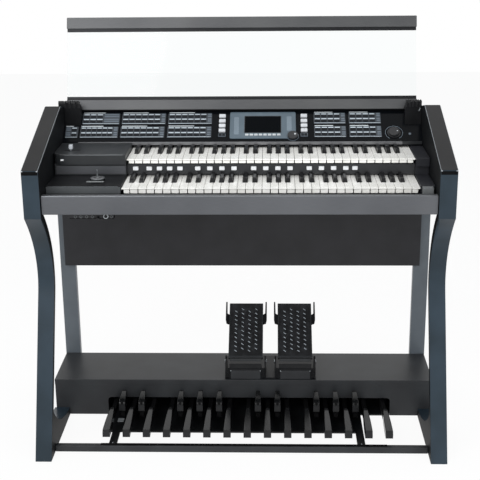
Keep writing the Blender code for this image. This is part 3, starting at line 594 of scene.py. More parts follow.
def make_side_boards():
    outline = board_outline()
    for side, inward in (("left", 1), ("right", -1)):
        solid = "side_board_" + side
        low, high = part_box(solid)
        middle = (low.x + high.x) / 2
        shape = rounded(side_bar(outline, low.x, high.x), 1.5, 3, on_side)
        board = piece(solid + "_lacquered", shape, LACQUER, hides=(solid,))
        # The inner faces take the near-black paint, which is painted shade between the boards
        second_finish(board, INNER_SHADE_PAINT, lambda normal: normal.x * inward > 0.9)
        cap = [(CHEEK[0][0] + MM, CHEEK[0][1]), CHEEK[1], (CHEEK[2][0] - MM, CHEEK[2][1])]
        cap += [(depth, height + 1.2 * MM) for depth, height in reversed(cap)]
        shape = rounded(side_bar(cap, low.x + 2 * MM, high.x - 2 * MM), 0.4)
        piece("cheek_cap_" + side, shape, CAP_PAINT)
        band = moved(block(45.6, 1.2, 10.5, 0.4), spot(middle, 0.0002, 0.8428))
        piece("cheek_front_band_" + side, band, LEVER_ABS)
        # Thin steel lines along the caps' inner top edges and small steel blocks at their front corners:
        # painted highlights, standing in for the polished edges' reflections
        edge = high.x - 1.2 * MM if side == "left" else low.x + 1.2 * MM
        line = [(depth, height + 0.6 * MM) for depth, height in CHEEK]
        line += [(depth, height - 0.4 * MM) for depth, height in reversed(line)]
        corners = [spot(x, 0.0006, 0.8520) for x in (low.x + 3 * MM, high.x - 3 * MM)]
        highlight_line_bar = side_bar(line, edge - 0.5 * MM, edge + 0.5 * MM)
        trims = joined([highlight_line_bar, repeated(block(5, 2.4, 3.6, 0.8), corners)])
        piece("cheek_edge_painted_highlights_" + side, trims, STEEL)
        feet = [spot(middle, depth, 0.2 * MM) for depth in (-0.045, 0.190)]
        piece("rubber_feet_" + side, repeated(disc(15, 1.5), feet), RUBBER)


def make_rails():
    low, high, middle, size = box_of("front_rail")
    rail = moved(block(*size, 2.2, 4), spot(0, middle, low.z))
    piece("front_rail_brushed", rail, RAIL_METAL, hides=("front_rail",))
    # A thin steel strip along the rail's top front edge: a painted highlight, standing in for the bevel
    # catching the light
    place = spot(0, low.y - FACE_Y + 3 * MM, high.z - 0.7 * MM)
    strip = moved(block(size.x - 4, 1.6, 1.2, 0.5, 3), place)
    piece("front_rail_painted_highlight", strip, STEEL)
    low, high, middle, size = box_of("foot_rail")
    rail = moved(block(*size, 2.0, 3), spot(0, middle, low.z))
    piece("foot_rail_painted", rail, CASE_PAINT, hides=("foot_rail",))
    place = spot(0.0075, high.y - FACE_Y - 7 * MM, high.z - 0.2 * MM)
    strip = moved(plate(851, 11.5, 1.4, 2), place)
    piece("foot_rail_rubber_strip", strip, LEVER_ABS)


def make_sockets():
    """Jacks, a small level knob and a bright ring jack on the socket box's front."""
    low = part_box("keybed")[0].z
    front = 0.036
    face = front + 0.5 * MM
    back_plate = moved(block(127, 22, 9, 1), spot(-0.4165, front + 11.4 * MM, low - 4.4 * MM))
    piece("socket_plate", back_plate, HINGE_ABS)
    jacks = []
    for x in (-0.462, -0.446, -0.430, -0.414, -0.3595):
        jacks.append(facing_front(x, face, low + 3.2 * MM))
    piece("socket_rings", repeated(disc(4.2, 2.0), jacks), TRIM_ABS)
    ring_place = facing_front(-0.3755, face, low + 4.4 * MM)
    ring = turned([(4.6, 0), (7.4, 0), (7.4, 2.6), (6.6, 3.4), (5.2, 3.0), (4.6, 0)])
    piece("ring_jack", moved(ring, ring_place), STEEL)
    knob = turned([(0, 0), (4.4, 0), (4.4, 9), (3.6, 10.5), (0, 11)])
    bodies = joined([
        repeated(disc(2.4, 2.4), jacks), moved(disc(4.5, 1.6), ring_place),
        moved(knob, facing_front(-0.3976, face, low - 0.5 * MM))
    ])
    piece("socket_bodies", bodies, BLACK_ABS)


def make_back():
    """Screws and two groups of ventilation louvres on the back panel."""
    screws = []
    for name, inset, row in (
        ("console_back", 14 * MM, (-0.53, -0.265, 0.0, 0.265, 0.53)),
        ("knee_panel", 16 * MM, (-0.52, -0.17, 0.17, 0.51))
    ):
        low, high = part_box(name)
        for x in row:
            for z in (low.z + inset, high.z - inset):
                screws.append(spot(x, high.y - FACE_Y, z) @ turn(-90, "X"))
    piece("back_screws", repeated(screw_head(3.6), screws), STEEL)
    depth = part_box("console_back")[1].y - FACE_Y + 0.6 * MM
    louvres = []
    for middle in (-0.34, 0.34):
        for number in range(9):
            louvres.append(spot(middle, depth, 0.778 + number * 9.5 * MM))
    slats = repeated(block(200, 2.4, 4.0, 0.8), louvres)
    piece("back_louvres", slats, BLACK_ABS)


# Keyboards

def sharp_places():
    """Centres of the five sharps in one octave, from its left end."""
    low = 3 * KEY_PITCH / 5
    high = 4 * KEY_PITCH / 7
    places = [low * part for part in (1.5, 3.5)]
    return places + [3 * KEY_PITCH + high * part for part in (1.5, 3.5, 5.5)]


def natural_key(number, front, notch, back, inset):
    """Plan of one natural: it is notched beside the sharps that follow and lead it."""
    octave = KEYS_LEFT + number // 7 * 7 * KEY_PITCH
    step = number % 7
    left = KEYS_LEFT + number * KEY_PITCH + KEY_GAP / 2 + inset
    right = left + KEY_PITCH - KEY_GAP - 2 * inset
    room = SHARP_WIDE / 2 + KEY_GAP + inset
    points = [(left, front), (right, front)]
    if step in SHARP_AFTER and number < NATURALS - 1:
        edge = octave + sharp_places()[SHARP_AFTER.index(step)] - room
        points += [(right, notch), (edge, notch), (edge, back)]
    else:
        points.append((right, back))
    if (step - 1) % 7 in SHARP_AFTER and number > 0:
        edge = octave + sharp_places()[SHARP_AFTER.index(step - 1)] + room
        points += [(edge, back), (edge, notch), (left, notch)]
    else:
        points.append((left, back))
    return points


def natural_row(front, top, low, skirt_low, notch, back):
    """Key tops with an overhanging lip, on narrower bodies; a slot parts lip and skirt."""
    lip = 3.6 * MM
    tuck = 2.6 * MM
    slot = 1.3 * MM
    skirt_deep = 5 * MM
    drawn_in = 5 * MM
    skirt_tall = top - lip - slot - skirt_low
    keys = []
    for number in range(NATURALS):
        plan = natural_key(number, front, notch, back, 0)
        cap = prism([at(x, depth, top - lip) for x, depth in plan], (0, 0, lip))
        keys.append(rounded(cap, 0.9, 3, above(top - TINY)))
        plan = natural_key(number, front + tuck + skirt_deep, notch, back, 0.8 * MM)
        far_left, far_right = plan[0][0], plan[1][0]
        if number == 0:
            plan = [(x + drawn_in if x == far_left else x, depth) for x, depth in plan]
        if number == NATURALS - 1:
            plan = [(x - drawn_in if x == far_right else x, depth) for x, depth in plan]
        keys.append(prism([at(x, depth, low) for x, depth in plan], (0, 0, top - lip - low)))
        left, right = plan[0][0], plan[1][0]
        skirt = block((right - left) / MM, skirt_deep / MM, skirt_tall / MM, 0.3, 1)
        place = spot((left + right) / 2, front + tuck + skirt_deep / 2, skirt_low)
        keys.append(moved(skirt, place))
    return joined(keys)


def sharp_row(start, top, low, back):
    """Sharps with a sloping nose, drawn in towards their tops."""
    high = top + SHARP_RISE
    half = SHARP_WIDE / 2
    profile = [(start, low), (start, top + 1 * MM), (start + 2 * MM, top + 4 * MM)]
    profile += bend(profile[-1], (start + 6 * MM, high), (start + 15 * MM, high), 5)
    profile += [(back, high), (back, low)]
    keys = []
    for number in range(NATURALS // 7):
        for place in sharp_places():
            x = KEYS_LEFT + number * 7 * KEY_PITCH + place
            key = side_bar(profile, x - half, x + half)
            for vert in key.verts:
                if vert.co.z > top:
                    vert.co.x = x + (vert.co.x - x) * (1 - 0.16 * (vert.co.z - top) / SHARP_RISE)
            keys.append(rounded(key, 1.1, 3, above(top)))
    return joined(keys)


def make_keyboards():
    rows = {
        "lower": (0.081, 0.785, 0.771, 0.769, 0.143, 0.2185),
        "upper": (0.212, 0.838, 0.8325, 0.8247, 0.282, 0.3585),
    }
    for word, (front, top, low, skirt_low, start, sharp_back) in rows.items():
        whites, blacks = word + "_naturals", word + "_sharps"
        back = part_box(whites)[1].y - FACE_Y
        keys = natural_row(front, top, low, skirt_low, start - KEY_GAP, back)
        piece(word + "_natural_keys", keys, KEY_WHITE, whites, (whites,))
        keys = sharp_row(start, top, low, sharp_back)
        piece(word + "_sharp_keys", keys, KEY_BLACK, blacks, (blacks,))
    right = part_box("lower_naturals")[1].x
    felt = block((right - KEYS_LEFT) / MM, 20, 4, 1)
    place = spot((right + KEYS_LEFT) / 2, 0.060, 0.7524)
    piece("key_slip_felt", moved(felt, place), RUBBER)


def make_presets():
    """Six groups of buttons: each one's first X, its count and the step between them."""
    places = []
    for first, count, step in (
        (-0.3100, 1, 0), (-0.2700, 4, 0.0303), (-0.1265, 4, 0.0357), (0.0385, 4, 0.0357),
        (0.2020, 4, 0.0357), (0.3360, 1, 0)
    ):
        places += [facing_front(first + step * number, 0.2265, 0.808) for number in range(count)]
    caps = repeated(plate(16, 11.2, 9, 2.2, 1.2), places)
    piece(
        "preset_button_caps", caps, BUTTON_ABS, "preset_buttons",
        ("preset_buttons",)
    )


# Control panel

# Each row's runs up the slope, then left edge, right edge and columns of every bank
BANKS = {
    "low": ((0.016, 0.060), (
        (-0.5470, -0.5080, 1), (-0.5010, -0.3840, 6), (-0.3760, -0.2400, 6),
        (-0.2305, -0.0945, 6), (0.2220, 0.3200, 4), (0.3300, 0.4285, 4)
    )),
    "high": ((0.070, 0.114), (
        (-0.4985, -0.3825, 3), (-0.3745, -0.2385, 6), (-0.2300, -0.0940, 6),
        (0.2215, 0.3195, 4), (0.3300, 0.4285, 4)
    )),
}
COLUMN_MIDS = (-0.06175, 0.19125)


def bank_of_buttons(name, left, right, low, high, columns):
    """A tray with two rows of dark caps under pale labels, and paler fields at one end."""
    wide, tall = right - left, high - low
    middle = (left + right) / 2
    out = 0.3 * MM
    end = {1: 0.46 * wide, 3: 50 * MM}.get(columns, 15 * MM)
    first = left + (end if columns == 1 else 1.5 * MM)
    field = left + end / 2 if columns == 1 else right - end / 2
    step = (wide - end - 3 * MM) / columns
    runs = [low + tall * share for share in (0.25, 0.69)]
    marks = [(first + step * (column + 0.5), run) for run in runs for column in range(columns)]
    tray = plate(wide / MM, tall / MM, 4.6, 1.5)
    tray_place = on_panel(middle, (low + high) / 2, -4.2 * MM)
    cap = plate(step / MM * 0.86, 9.6, 1.8, 1.2, 0.6)
    caps = [on_panel(x, run, out) for x, run in marks]
    edge_line = moved(block(wide / MM - 3, 1.6, 0.5, 0), on_panel(middle, low + 2 * MM, out))
    label = block(step / MM * 0.80, 4.0, 0.7, 0.2)
    labels = [on_panel(x, run + 7.6 * MM, out) for x, run in marks]
    fields = [on_panel(field, run + offset, out) for run in runs for offset in (0, 8 * MM)]
    for part, shape, looks, slot in (
        ("_tray", moved(tray, tray_place), BANK_ABS, "bezel"),
        ("_caps", repeated(cap, caps), CAP_ABS, "black_plastic"),
        ("_labels", joined([edge_line, repeated(label, labels)]), PAD_ABS, "button_white"),
        ("_fields", repeated(block(end / MM - 4, 5.6, 0.8, 0.3), fields), FIELD_ABS, "bezel")
    ):
        piece(name + part, shape, looks, "panel_buttons")
    place = on_panel(left + wide * 0.31, high + 1.6 * MM, 0.1 * MM)
    line = moved(block(wide / MM * 0.58, 2.0, 0.3, 0), place)
    piece(name + "_line", line, WHITE_INK)


def make_banks():
    for row, ((low, high), banks) in BANKS.items():
        for number, (left, right, columns) in enumerate(banks, start=1):
            bank_of_buttons("%s_bank_%d" % (row, number), left, right, low, high, columns)
    whites = []
    frames = []
    darks = []
    for x in COLUMN_MIDS:
        whites += [on_panel(x, run, -3.5 * MM) for run in (0.1022, 0.0823, 0.0632, 0.0439)]
        frames.append(on_panel(x, 0.0252, -3.5 * MM))
        darks += [on_panel(x + side * 5.1 * MM, 0.0252, 0.4 * MM) for side in (-1, 1)]
    piece(
        "column_buttons_white", repeated(plate(20.4, 12.8, 5.4, 2, 1), whites), COLUMN_ABS,
        "panel_buttons", ("panel_buttons",)
    )
    shape = repeated(plate(22.3, 12.6, 4.2, 1.5), frames)
    piece("column_frames", shape, FIELD_ABS, "panel_buttons")
    shape = repeated(plate(8.8, 8.4, 1.8, 1), darks)
    piece("column_buttons_dark", shape, CAP_ABS, "panel_buttons")


def make_display():
    middle = 0.064
    bezel = moved(plate(203.6, 106.3, 2.7, 5, 0.8), on_panel(middle, 0.062, 0.3 * MM))
    piece("display_bezel", bezel, BEZEL_ABS, hides=("display",))
    for word, size, x, run, out, looks, slot in (
        ("rim", (114.0, 68.0, 0.8, 1.5, 0.3), 0, 0.0645, 2.9, SATIN_ABS, "black_plastic"),
        ("field_left", (15, 70, 0.5, 3, 0.2), -0.0815, 0.0595, 2.8, FIELD_PALE_ABS, "bezel"),
        ("field_right", (15, 58, 0.5, 3, 0.2), 0.0815, 0.0680, 2.8, FIELD_PALE_ABS, "bezel"),
        ("screen", (110.4, 64.0, 0.6, 1.0, 0.2), 0, 0.0645, 3.5, SCREEN, "panel_gloss")
    ):
        shape = moved(plate(*size), on_panel(middle + x, run, out * MM))
        piece("display_" + word, shape, looks)
    keys = [on_panel(middle - 0.0490 + number * 0.0140, 0.0232, 2.6 * MM) for number in range(8)]
    piece("display_keys", repeated(plate(10.6, 7.4, 1.8, 1.4), keys), PLATE_ABS)
    # A paler ring round the dial: a painted highlight, standing in for the dial's lit edge
    ring = turned([
        (17.1, 0), (18.6, 0), (18.6, 2.2), (18.2, 2.8), (17.5, 2.8), (17.1, 2.2), (17.1, 0)
    ], 48)
    piece("dial_ring_painted_highlight", moved(ring, on_panel(0.156, 0.0185, 0.4 * MM)), FIELD_ABS)


def make_knobs():
    dial = joined([
        knurled(16.2, 4.6, 36, 0.5),
        lifted(turned([(0, 0), (14.8, 0), (14.6, 1.0), (13.8, 1.4), (0, 1.1)]), 4.5)
    ])
    moved(dial, on_panel(0.156, 0.0185, 3.9 * MM))
    piece("data_dial_knurled", dial, SATIN_ABS, "data_dial", ("data_dial",))
    # The dimple's shape is real; its pale grey is a painted highlight
    dimple = turned([(0, 0), (3.0, 0), (3.2, 0.4), (2.6, 0.6), (0, 0.15)], 24)
    moved(dimple, on_panel(0.163, 0.0215, 9.4 * MM))
    piece("data_dial_dimple_painted_highlight", dimple, PLATE_ABS, "data_dial")
    knob = joined([
        turned([(0, 0), (20, 0), (20, 1.5), (17.6, 2.2), (0, 2.2)], 48),
        lifted(knurled(17.4, 6.0, 40, 0.6), 2.0), lifted(disc(15.6, 1.2, 0.6, 48), 7.6)
    ])
    moved(knob, on_panel(0.466, 0.032, 0.3 * MM))
    piece("volume_knob_fluted", knob, SATIN_ABS, "volume_knob", ("volume_knob",))
    dot = moved(disc(1.6, 0.5, 0.1, 20), on_panel(0.4755, 0.0330, 8.9 * MM))
    piece("volume_pointer", dot, WHITE_INK, "volume_knob")
    piece("volume_ring_print", printed_ring(), FIELD_PALE_ABS)
    button = moved(disc(4.2, 2.6, 0.8, 28), on_panel(0.514, 0.027, 0.1 * MM))
    piece("panel_round_button", button, FIELD_ABS)


def printed_ring():
    """A thin ring round the volume knob, open at its lower side."""
    inner, outer = 25.8 * MM, 26.9 * MM
    opening = math.radians(34)
    start = -math.pi / 2 + opening
    sweep = math.tau - 2 * opening
    steps = 60
    outline = []
    for radius, numbers in ((inner, range(steps + 1)), (outer, range(steps, -1, -1))):
        for number in numbers:
            angle = start + sweep * number / steps
            outline.append((radius * math.cos(angle), radius * math.sin(angle), 0))
    return moved(prism(outline, (0, 0, 0.25 * MM)), on_panel(0.466, 0.032, 0.05 * MM))


def make_panel_trim():
    """The satin strip under the panel's front edge, with a dark end at the right."""
    for name, wide, x, looks in (
        ("panel_front_strip", 992.5, -0.00675, STRIP_METAL),
        ("panel_front_strip_end", 59, 0.5195, BLOCK_ABS)
    ):
        piece(name, moved(block(wide, 1.2, 9.5), spot(x, 0.3618, 0.847)), looks)


# Left controls, block trims and hinge blocks

def make_joystick():
    """A domed plate with its bright rim, a small plate in front, and the stick in its cup."""
    dome = [(9.2, 0), (20.4, 0), (20.0, 1.0), (16.0, 2.2), (11.0, 2.8), (9.2, 2.0), (9.2, 0)]
    rim = [(20.5, 0.1), (21.8, 0.1), (21.8, 1.0), (21.4, 1.3), (20.7, 1.2), (20.5, 0.1)]
    stick = [
        (0, -5.0), (3.6, -3.4), (5.0, 0), (3.9, 3.1), (2.7, 4.6), (1.9, 14), (2.2, 17), (3.3, 20),
        (3.3, 23.5), (2.6, 24.8), (0, 25)
    ]
    cup = [(0, -0.5), (8.2, -0.5), (8.2, 0.4), (6.6, 0.9), (5.9, 2.0), (4.6, 2.6), (0, 2.8)]
    front_plate = moved(plate(50, 9, 1.8, 2), Matrix.Translation((0, -44 * MM, 0)))
    place = spot(-0.4125, 0.1460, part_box("lower_left_block")[1].z)
    for word, shape, looks, body, hides in (
        ("plate", turned(dome, 48), STRIP_METAL, "console", ()),
        ("front_plate", front_plate, PALE_TRIM_ABS, "console", ()),
        ("rim", turned(rim, 48), STEEL, "console", ()),
        ("turned", turned(stick, 28), TRIM_ABS, "joystick", ("joystick",)),
        ("cup", turned(cup, 28), STRIP_METAL, "joystick", ())
    ):
        piece("joystick_" + word, moved(shape, place), looks, body, hides)


def make_balance_lever():
    x, depth, top = -0.506, 0.256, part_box("upper_left_block")[1].z
    slot_plate = moved(plate(46, 13, 0.8, 2, 0.3), spot(x + 4 * MM, depth, top))
    piece("balance_slot_plate", slot_plate, BLACK_ABS)
    stem = moved(block(3, 7, 6), spot(x, depth, top + 0.9 * MM))
    cap = moved(plate(12.0, 15, 12.5, 3.5, 2.2), spot(x, depth, top + 5.6 * MM))
    lever = "balance_lever"
    piece("balance_lever_cap", joined([stem, cap]), SILVER_ABS, lever, (lever,))


def make_block_trims():
    """The power switch, strips and faces on the blocks beside the keys, and thin steel lines on their
    front edges that are painted highlights.
    """
    switch = moved(plate(9, 4.5, 2.4, 1, 0.6), facing_front(-0.523, 0.1996, 0.839))
    piece("power_switch", switch, BUTTON_ABS)
    # Thin steel lines along the blocks' front top edges: painted highlights
    lines = joined([
        moved(block(200, 0.6, 1.0, 0), spot(-0.445, 0.0808, 0.7895)),
        moved(block(170, 0.6, 0.9, 0), spot(-0.430, 0.1998, 0.8533))
    ])
    piece("block_edge_painted_highlights", lines, STEEL)
    for name, size, x, depth, height, looks, slot in (
        ("recess_strip", (205, 1, 24, 0.4), -0.441, 0.2075, 0.795, RAIL_METAL, "grey_metal"),
        ("right_key_block_trim", (30, 20, 37.6, 1, 3), 0.53, 0.0695, 0.7522, PALE_TRIM_ABS, "silver"),
        # A thin steel line on the trim's front top edge: a painted highlight
        ("right_key_block_painted_highlight", (29, 1.2, 1, 0.3), 0.53, 0.0598, 0.7886, STEEL, "silver"),
        ("left_block_face", (213, 1, 20, 0.3), -0.444, 0.0802, 0.769, TRIM_ABS, "charcoal_plastic")
    ):
        piece(name, moved(block(*size), spot(x, depth, height)), looks)


def make_hinge_trim():
    """Teeth along both hinge blocks, a horn over the left cheek, and a small steel plate whose glint is
    a painted reflection.
    """
    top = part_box("hinge_block_left")[1].z
    tooth = (
        (0.4145, top - 18 * MM), (0.4145, top - 2 * MM), (0.4185, top + 3.5 * MM),
        (0.4250, top + 1 * MM), (0.4250, top - 18 * MM)
    )
    horn = (
        (0.4180, 0.9566), (0.4180, 0.9680), (0.4230, 0.9735), (0.4330, 0.9700),
        (0.4460, 0.9600), (0.4460, 0.9505)
    )
    teeth = []
    for x in (-0.549, -0.534, -0.519, -0.506, 0.505, 0.515, 0.525, 0.536, 0.547):
        teeth.append(rounded(side_bar(tooth, x - 3 * MM, x + 3 * MM), 1.0))
    teeth.append(rounded(side_bar(horn, -0.569, -0.552), 1.2))
    piece("hinge_teeth", joined(teeth), BLACK_ABS)
    # A small tilted steel plate set for its bright glint: a painted reflection on the hinge
    place = facing_front(0.5450, 0.4162, 0.9438) @ turn(-24, "Z")
    piece("hinge_painted_glint", moved(plate(3.6, 11, 2.2, 1.4, 0.8), place), STEEL)


# Music rest

def make_music_rest():
    body = "music_rest"
    length = 2 * REST_HALF / MM
    for name, rise, tall, lip_rise in (
        ("rest_bottom_rail", 0, 31, 31), ("rest_top_rail", 255, 35, 245)
    ):
        band = moved(block(length, 10, tall, 0.8, 3), on_rest(0, rise * MM, 5 * MM))
        piece(name + "_band", band, REST_METAL, body, (name,))
        # The lip's near-black tone is painted shade in the channel
        lip = moved(block(length - 2, 7, 10.2, 1.0), on_rest(0, lip_rise * MM, 5 * MM))
        piece(name + "_lip", lip, SHADED_LIP_METAL, body)
    # A dark strip under the bottom rail: painted shade where the rail's shadow falls on the panel
    seal = moved(block(length - 2, 9, 2.8, 0.6), on_rest(0, -2.5 * MM, 5.2 * MM))
    piece("rest_painted_shade_strip", seal, LEVER_ABS, body)
    caps = []
    for x in (-REST_HALF, REST_HALF):
        for rise, tall in ((1, 29), (256, 33)):
            caps.append(moved(block(1.6, 9, tall), on_rest(x, rise * MM, 5 * MM)))
    piece("rest_end_caps", joined(caps), SATIN_ABS, body)
    hinges = []
    for x in (-0.36, 0.0, 0.36):
        hinges.append(moved(block(60, 1.5, 16, 0.3), on_rest(x, 2 * MM, -0.6 * MM)))
        place = on_rest(x - 30 * MM, 0.3 * MM, -0.4 * MM) @ turn(90, "Y")
        hinges.append(moved(disc(2.0, 60, 0.3, 20), place))
    piece("rest_hinges", joined(hinges), STEEL, body)


# Pedalboard

def pedals():
    """Name, place in X and kind of the 25 pedals, from the left."""
    steps = [(step, "natural") for step in range(15)]
    steps += [(step + 0.5, "sharp") for step in range(14) if step % 7 in SHARP_AFTER]
    return [
        ("pedal_%02d_%s" % (number, kind), PEDAL_MID + PEDAL_PITCH * (step - 7), kind)
        for number, (step, kind) in enumerate(sorted(steps), start=1)
    ]


def natural_cap(x):
    """A moulded toe piece that narrows to a round point at its back."""
    front, back, high = -0.002, 0.162, 0.070
    profile = [(front, 0.0412), (front, 0.0590), (front + 4 * MM, 0.0652), (0.122, high)]
    profile += bend(profile[-1], (0.150, high), (back, 0.054), 6)
    profile.append((back, 0.043))
    shape = side_bar(profile, x - 11 * MM, x + 11 * MM)
    rounded(shape, 3.2, 4, lambda e: on_side(e) and above(0.050)(e))
    for depth in range(20, 160, 20):
        whole = list(shape.verts) + list(shape.edges) + list(shape.faces)
        place = at(0, depth * MM, 0)
        bmesh.ops.bisect_plane(shape, geom=whole, plane_co=place, plane_no=(0, 1, 0))
    for vert in shape.verts:
        share = max(0.0, (vert.co.y - FACE_Y - front) / (back - front))
        vert.co.x = x + (vert.co.x - x) * (1 - 0.62 * share ** 2.2)
    return shape


def sharp_cap(x):
    """A raised finger piece: its head is round and it narrows towards its back."""
    front, narrow = 0.135, 0.222
    profile = [
        (0.143, 0.050), (0.1365, 0.058), (front, 0.080), (0.1385, 0.0865), (0.152, 0.0925),
        (0.190, 0.0985)
    ]
    profile += bend(profile[-1], (0.2185, 0.1015), (0.2225, 0.056), 6)
    shape = side_bar(profile, x - 9.5 * MM, x + 9.5 * MM)
    rounded(shape, 4.6, 5, lambda e: on_side(e) and above(0.058)(e))
    for vert in shape.verts:
        share = min(1.0, max(0.0, (vert.co.y - FACE_Y - front) / (narrow - front)))
        vert.co.x = x + (vert.co.x - x) * (1 - 0.45 * share ** 1.4)
    return shape


def make_pedals():
    for name, x, kind in pedals():
        natural = kind == "natural"
        shape = natural_cap(x) if natural else sharp_cap(x)
        cap = piece(name + "_cap", shape, PEDAL_ABS, name, (name,))
        second_finish(cap, TOE_ABS, lambda normal: normal.y < -0.9)
        start = 0.012 if natural else 0.143
        lever = [(start, 0.0425 if natural else 0.035), (start, 0.053), (0.405, 0.055), (0.405, 0.035)]
        if natural:
            lever.append((0.150, 0.035))
        # The lever's near-black, dull finish is partly painted shade under the cap
        shape = rounded(side_bar(lever, x - 7 * MM, x + 7 * MM), 1.2)
        piece(name + "_lever", shape, LEVER_ABS, name)
        if not natural:
            place = facing_front(x, 0.1372, 0.0835) @ turn(-28, "X")
            plug = moved(disc(4.4, 0.9, 0.3, 20), place)
            piece(name + "_screw", plug, LEVER_ABS, name)


def make_pedal_case_trim():
    _, high, middle, size = box_of("pedal_case")
    place = spot(0, middle, high.z - 17.4 * MM)
    lid = moved(block(size.x + 1, size.y + 0.6, 18, 1.6, 3), place)
    piece("pedal_case_lid", lid, CASE_PAINT)
    small_plate = moved(plate(19, 22, 1.6, 2), spot(-0.3825, 0.176, 5 * MM))
    piece("strap_plate", small_plate, PLATE_ABS)
    screws = [spot(x, 0.028, 5 * MM) for x in (-0.387, 0.360)]
    piece("strap_screws", repeated(screw_head(3.2), screws), STEEL)


# Expression pedals

def make_expression_pedals():
    length = math.dist(*TREAD)
    heel = (
        (0.075, -0.010), (0.052, -0.042), (0.020, -0.042), (0.004, -0.020), (0.0, -0.010),
        (0.0, -0.008), (0.075, -0.008)
    )
    kick = (
        (0.052, 0.128), (0.064, 0.133), (0.0665, 0.146), (0.0665, 0.213), (0.0620, 0.213),
        (0.0610, 0.168), (0.052, 0.162)
    )
    for side in TREAD_MIDS:
        body = "expression_pedal_" + side
        board = block(109, length / MM, 9, 1.6, 3)
        foot = prism([(-0.050, run, out) for run, out in heel], (0.100, 0, 0))
        tread = joined([
            moved(board, on_tread(side, 0, length / 2, -10 * MM)), moved(foot, on_tread(side, 0, 0))
        ])
        piece(body + "_tread", tread, RUBBER, body, (body,))
        grips = []
        for column in range(4):
            for row in range(10):
                run = 0.026 + row * 0.0165 + (column % 2) * 0.0082
                place = on_tread(side, (column - 1.5) * 0.0215, run, -1.2 * MM)
                grips.append(place @ turn(-38, "Z"))
        studs = repeated(block(9, 2.4, 1.9, 0.7, 3), grips)
        piece(body + "_grips", studs, GRIP_ABS, body)
        edges = [on_tread(side, x, length / 2, -1.4 * MM) for x in (-0.0525, 0.0525)]
        rim = joined([
            repeated(block(3, length / MM - 4, 2.0, 0.6), edges),
            moved(block(105, 6, 2.4, 0.8), on_tread(side, 0, 5 * MM, -1.4 * MM))
        ])
        piece(body + "_rim", rim, BLOCK_ABS, body)
        levers = []
        for sign in (-1, 1):
            lever = prism([(sign * x, run, -0.010) for x, run in kick], (0, 0, 9 * MM))
            levers.append(moved(rounded(lever, 0.8), on_tread(side, 0, 0)))
        piece(body + "_kick_levers", joined(levers), HINGE_ABS, body)
        bar = moved(block(99, 3.6, 9.0, 0.8), spot(TREAD_MIDS[side], 0.2508, 0.1752))
        piece(body + "_heel_bar", bar, BLOCK_ABS, body)


def make_expression_trim():
    """Front plates, dark recesses, brackets and axle ends of the pedals' bracket."""
    screws = []
    plates = []
    recesses = []
    brackets = []
    for middle in TREAD_MIDS.values():
        for side in (-1, 1):
            end = spot(middle + side * 0.0644, 0.275, 0.165) @ turn(90 * side, "Y")
            screws.append(moved(disc(6, 2.0, 0.6, 24), end))
            place = facing_front(middle + side * 0.0462, 0.2320, 0.1500)
            screws.append(moved(screw_head(1.7), place))
            x = middle + side * 0.0562
            brackets.append(moved(block(10, 3, 37, 1), spot(x, 0.2335, 0.1225)))
            pins = [facing_front(x, 0.2322, height) for height in (0.1415, 0.1540)]
            brackets.append(repeated(disc(3.2, 2.0, 0.8, 20), pins))
        plates.append(spot(middle, 0.2330, 0.1222))
        recesses.append(spot(middle, 0.2395, 0.1490))
    front_plates = repeated(block(93.5, 2.4, 29, 1.0, 3), plates)
    piece("expression_screws", joined(screws), STEEL)
    piece("expression_front_plates", front_plates, CASE_PAINT)
    dark_recesses = repeated(block(101.5, 3, 22, 0.6), recesses)
    piece("expression_recesses", dark_recesses, BLACK_ABS)
    piece("expression_brackets", joined(brackets), HINGE_ABS)


# Studio

# How far the paper's own white covers its shading, so that the shadow stays faint
PAPER_GLOW = 0.93
FLOOR_HALF = 7


def seen_share(tree):
    """1 where the camera, a gloss or a clear piece looks at the background, else 0."""
    path = add(tree, "LightPath").outputs
    seen = add(tree, "Math", {0: path["Is Camera Ray"], 1: path["Is Glossy Ray"]}, operation="MAXIMUM")
    seen = add(tree, "Math", {0: seen.outputs[0], 1: path["Is Transmission Ray"]}, operation="MAXIMUM")
    return seen.outputs[0]


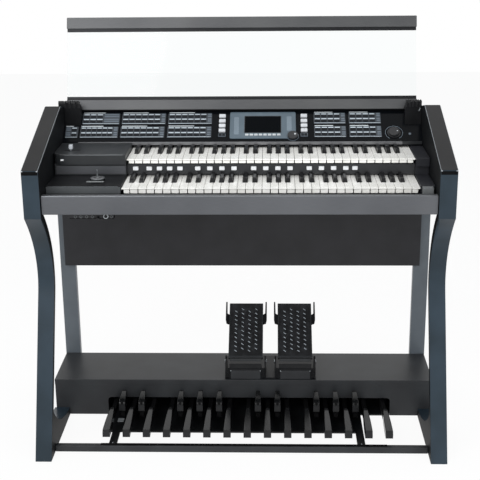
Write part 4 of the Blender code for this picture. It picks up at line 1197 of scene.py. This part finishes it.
def make_studio():
    scene = bpy.context.scene
    scene.view_settings.view_transform = "Standard"

    world = bpy.data.worlds.new("studio")
    scene.world = world
    tree = empty_tree(world)
    soft = add(tree, "Background", {"Color": linear("#f2f5f8"), "Strength": 0.55})
    white = add(tree, "Background", {"Color": (1, 1, 1, 1), "Strength": 1.0})
    both = add(tree, "MixShader", {0: seen_share(tree), 1: soft.outputs[0], 2: white.outputs[0]})
    add(tree, "OutputWorld", {"Surface": both.outputs[0]})

    paper_finish = bpy.data.materials.new("pale studio paper")
    tree = empty_tree(paper_finish)
    share = add(tree, "Math", {0: seen_share(tree), 1: PAPER_GLOW}, operation="MULTIPLY")
    paper = add(tree, "BsdfDiffuse", {"Color": linear("#f4f4f4")})
    glow = add(tree, "Emission", {"Color": (1, 1, 1, 1), "Strength": 1.0})
    both = add(tree, "MixShader", {0: share.outputs[0], 1: paper.outputs[0], 2: glow.outputs[0]})
    add(tree, "OutputMaterial", {"Surface": both.outputs[0]})
    shape = bmesh.new()
    bmesh.ops.create_grid(shape, x_segments=1, y_segments=1, size=FLOOR_HALF)
    mesh = bpy.data.meshes.new("floor")
    shape.to_mesh(mesh)
    shape.free()
    mesh.materials.append(paper_finish)
    floor = in_scene("floor", mesh)

    lamps = {
        "key": ((-1.6, -2.6, 2.9), (0, 0, 0.6), 2.2, 62.0),
        "fill": ((2.2, -2.0, 2.0), (0, 0, 0.6), 2.0, 26.0),
        "top": ((0.0, 0.4, 3.2), (0, 0, 0.8), 2.0, 22.0),
        "front": ((0.3, -3.6, 1.3), (0, 0, 0.6), 2.4, 44.0),
    }
    for name, (place, aim, size, power) in lamps.items():
        lamp = bpy.data.lights.new(name, "AREA")
        lamp.shape = "DISK"
        lamp.size = size
        lamp.energy = power
        made = in_scene(name, lamp)
        made.location = place
        made.rotation_euler = (Vector(aim) - Vector(place)).to_track_quat("-Z", "Y").to_euler()
        made.visible_glossy = name == "key"


def make_camera():
    data = bpy.data.cameras.new("camera")
    data.lens = CAMERA_LENS
    data.sensor_width = 36.0
    made = in_scene("camera", data)
    aim = turn(CAMERA_YAW, "Z") @ turn(90 - CAMERA_PITCH, "X") @ turn(CAMERA_ROLL, "Z")
    made.matrix_world = spot(*CAMERA_PLACE) @ aim
    bpy.context.scene.camera = made


make_camera()
make_studio()
paint_solids()
make_side_boards()
make_rails()
make_sockets()
make_back()
make_keyboards()
make_presets()
make_banks()
make_display()
make_knobs()
make_panel_trim()
make_joystick()
make_balance_lever()
make_block_trims()
make_hinge_trim()
make_music_rest()
make_pedals()
make_pedal_case_trim()
make_expression_pedals()
make_expression_trim()
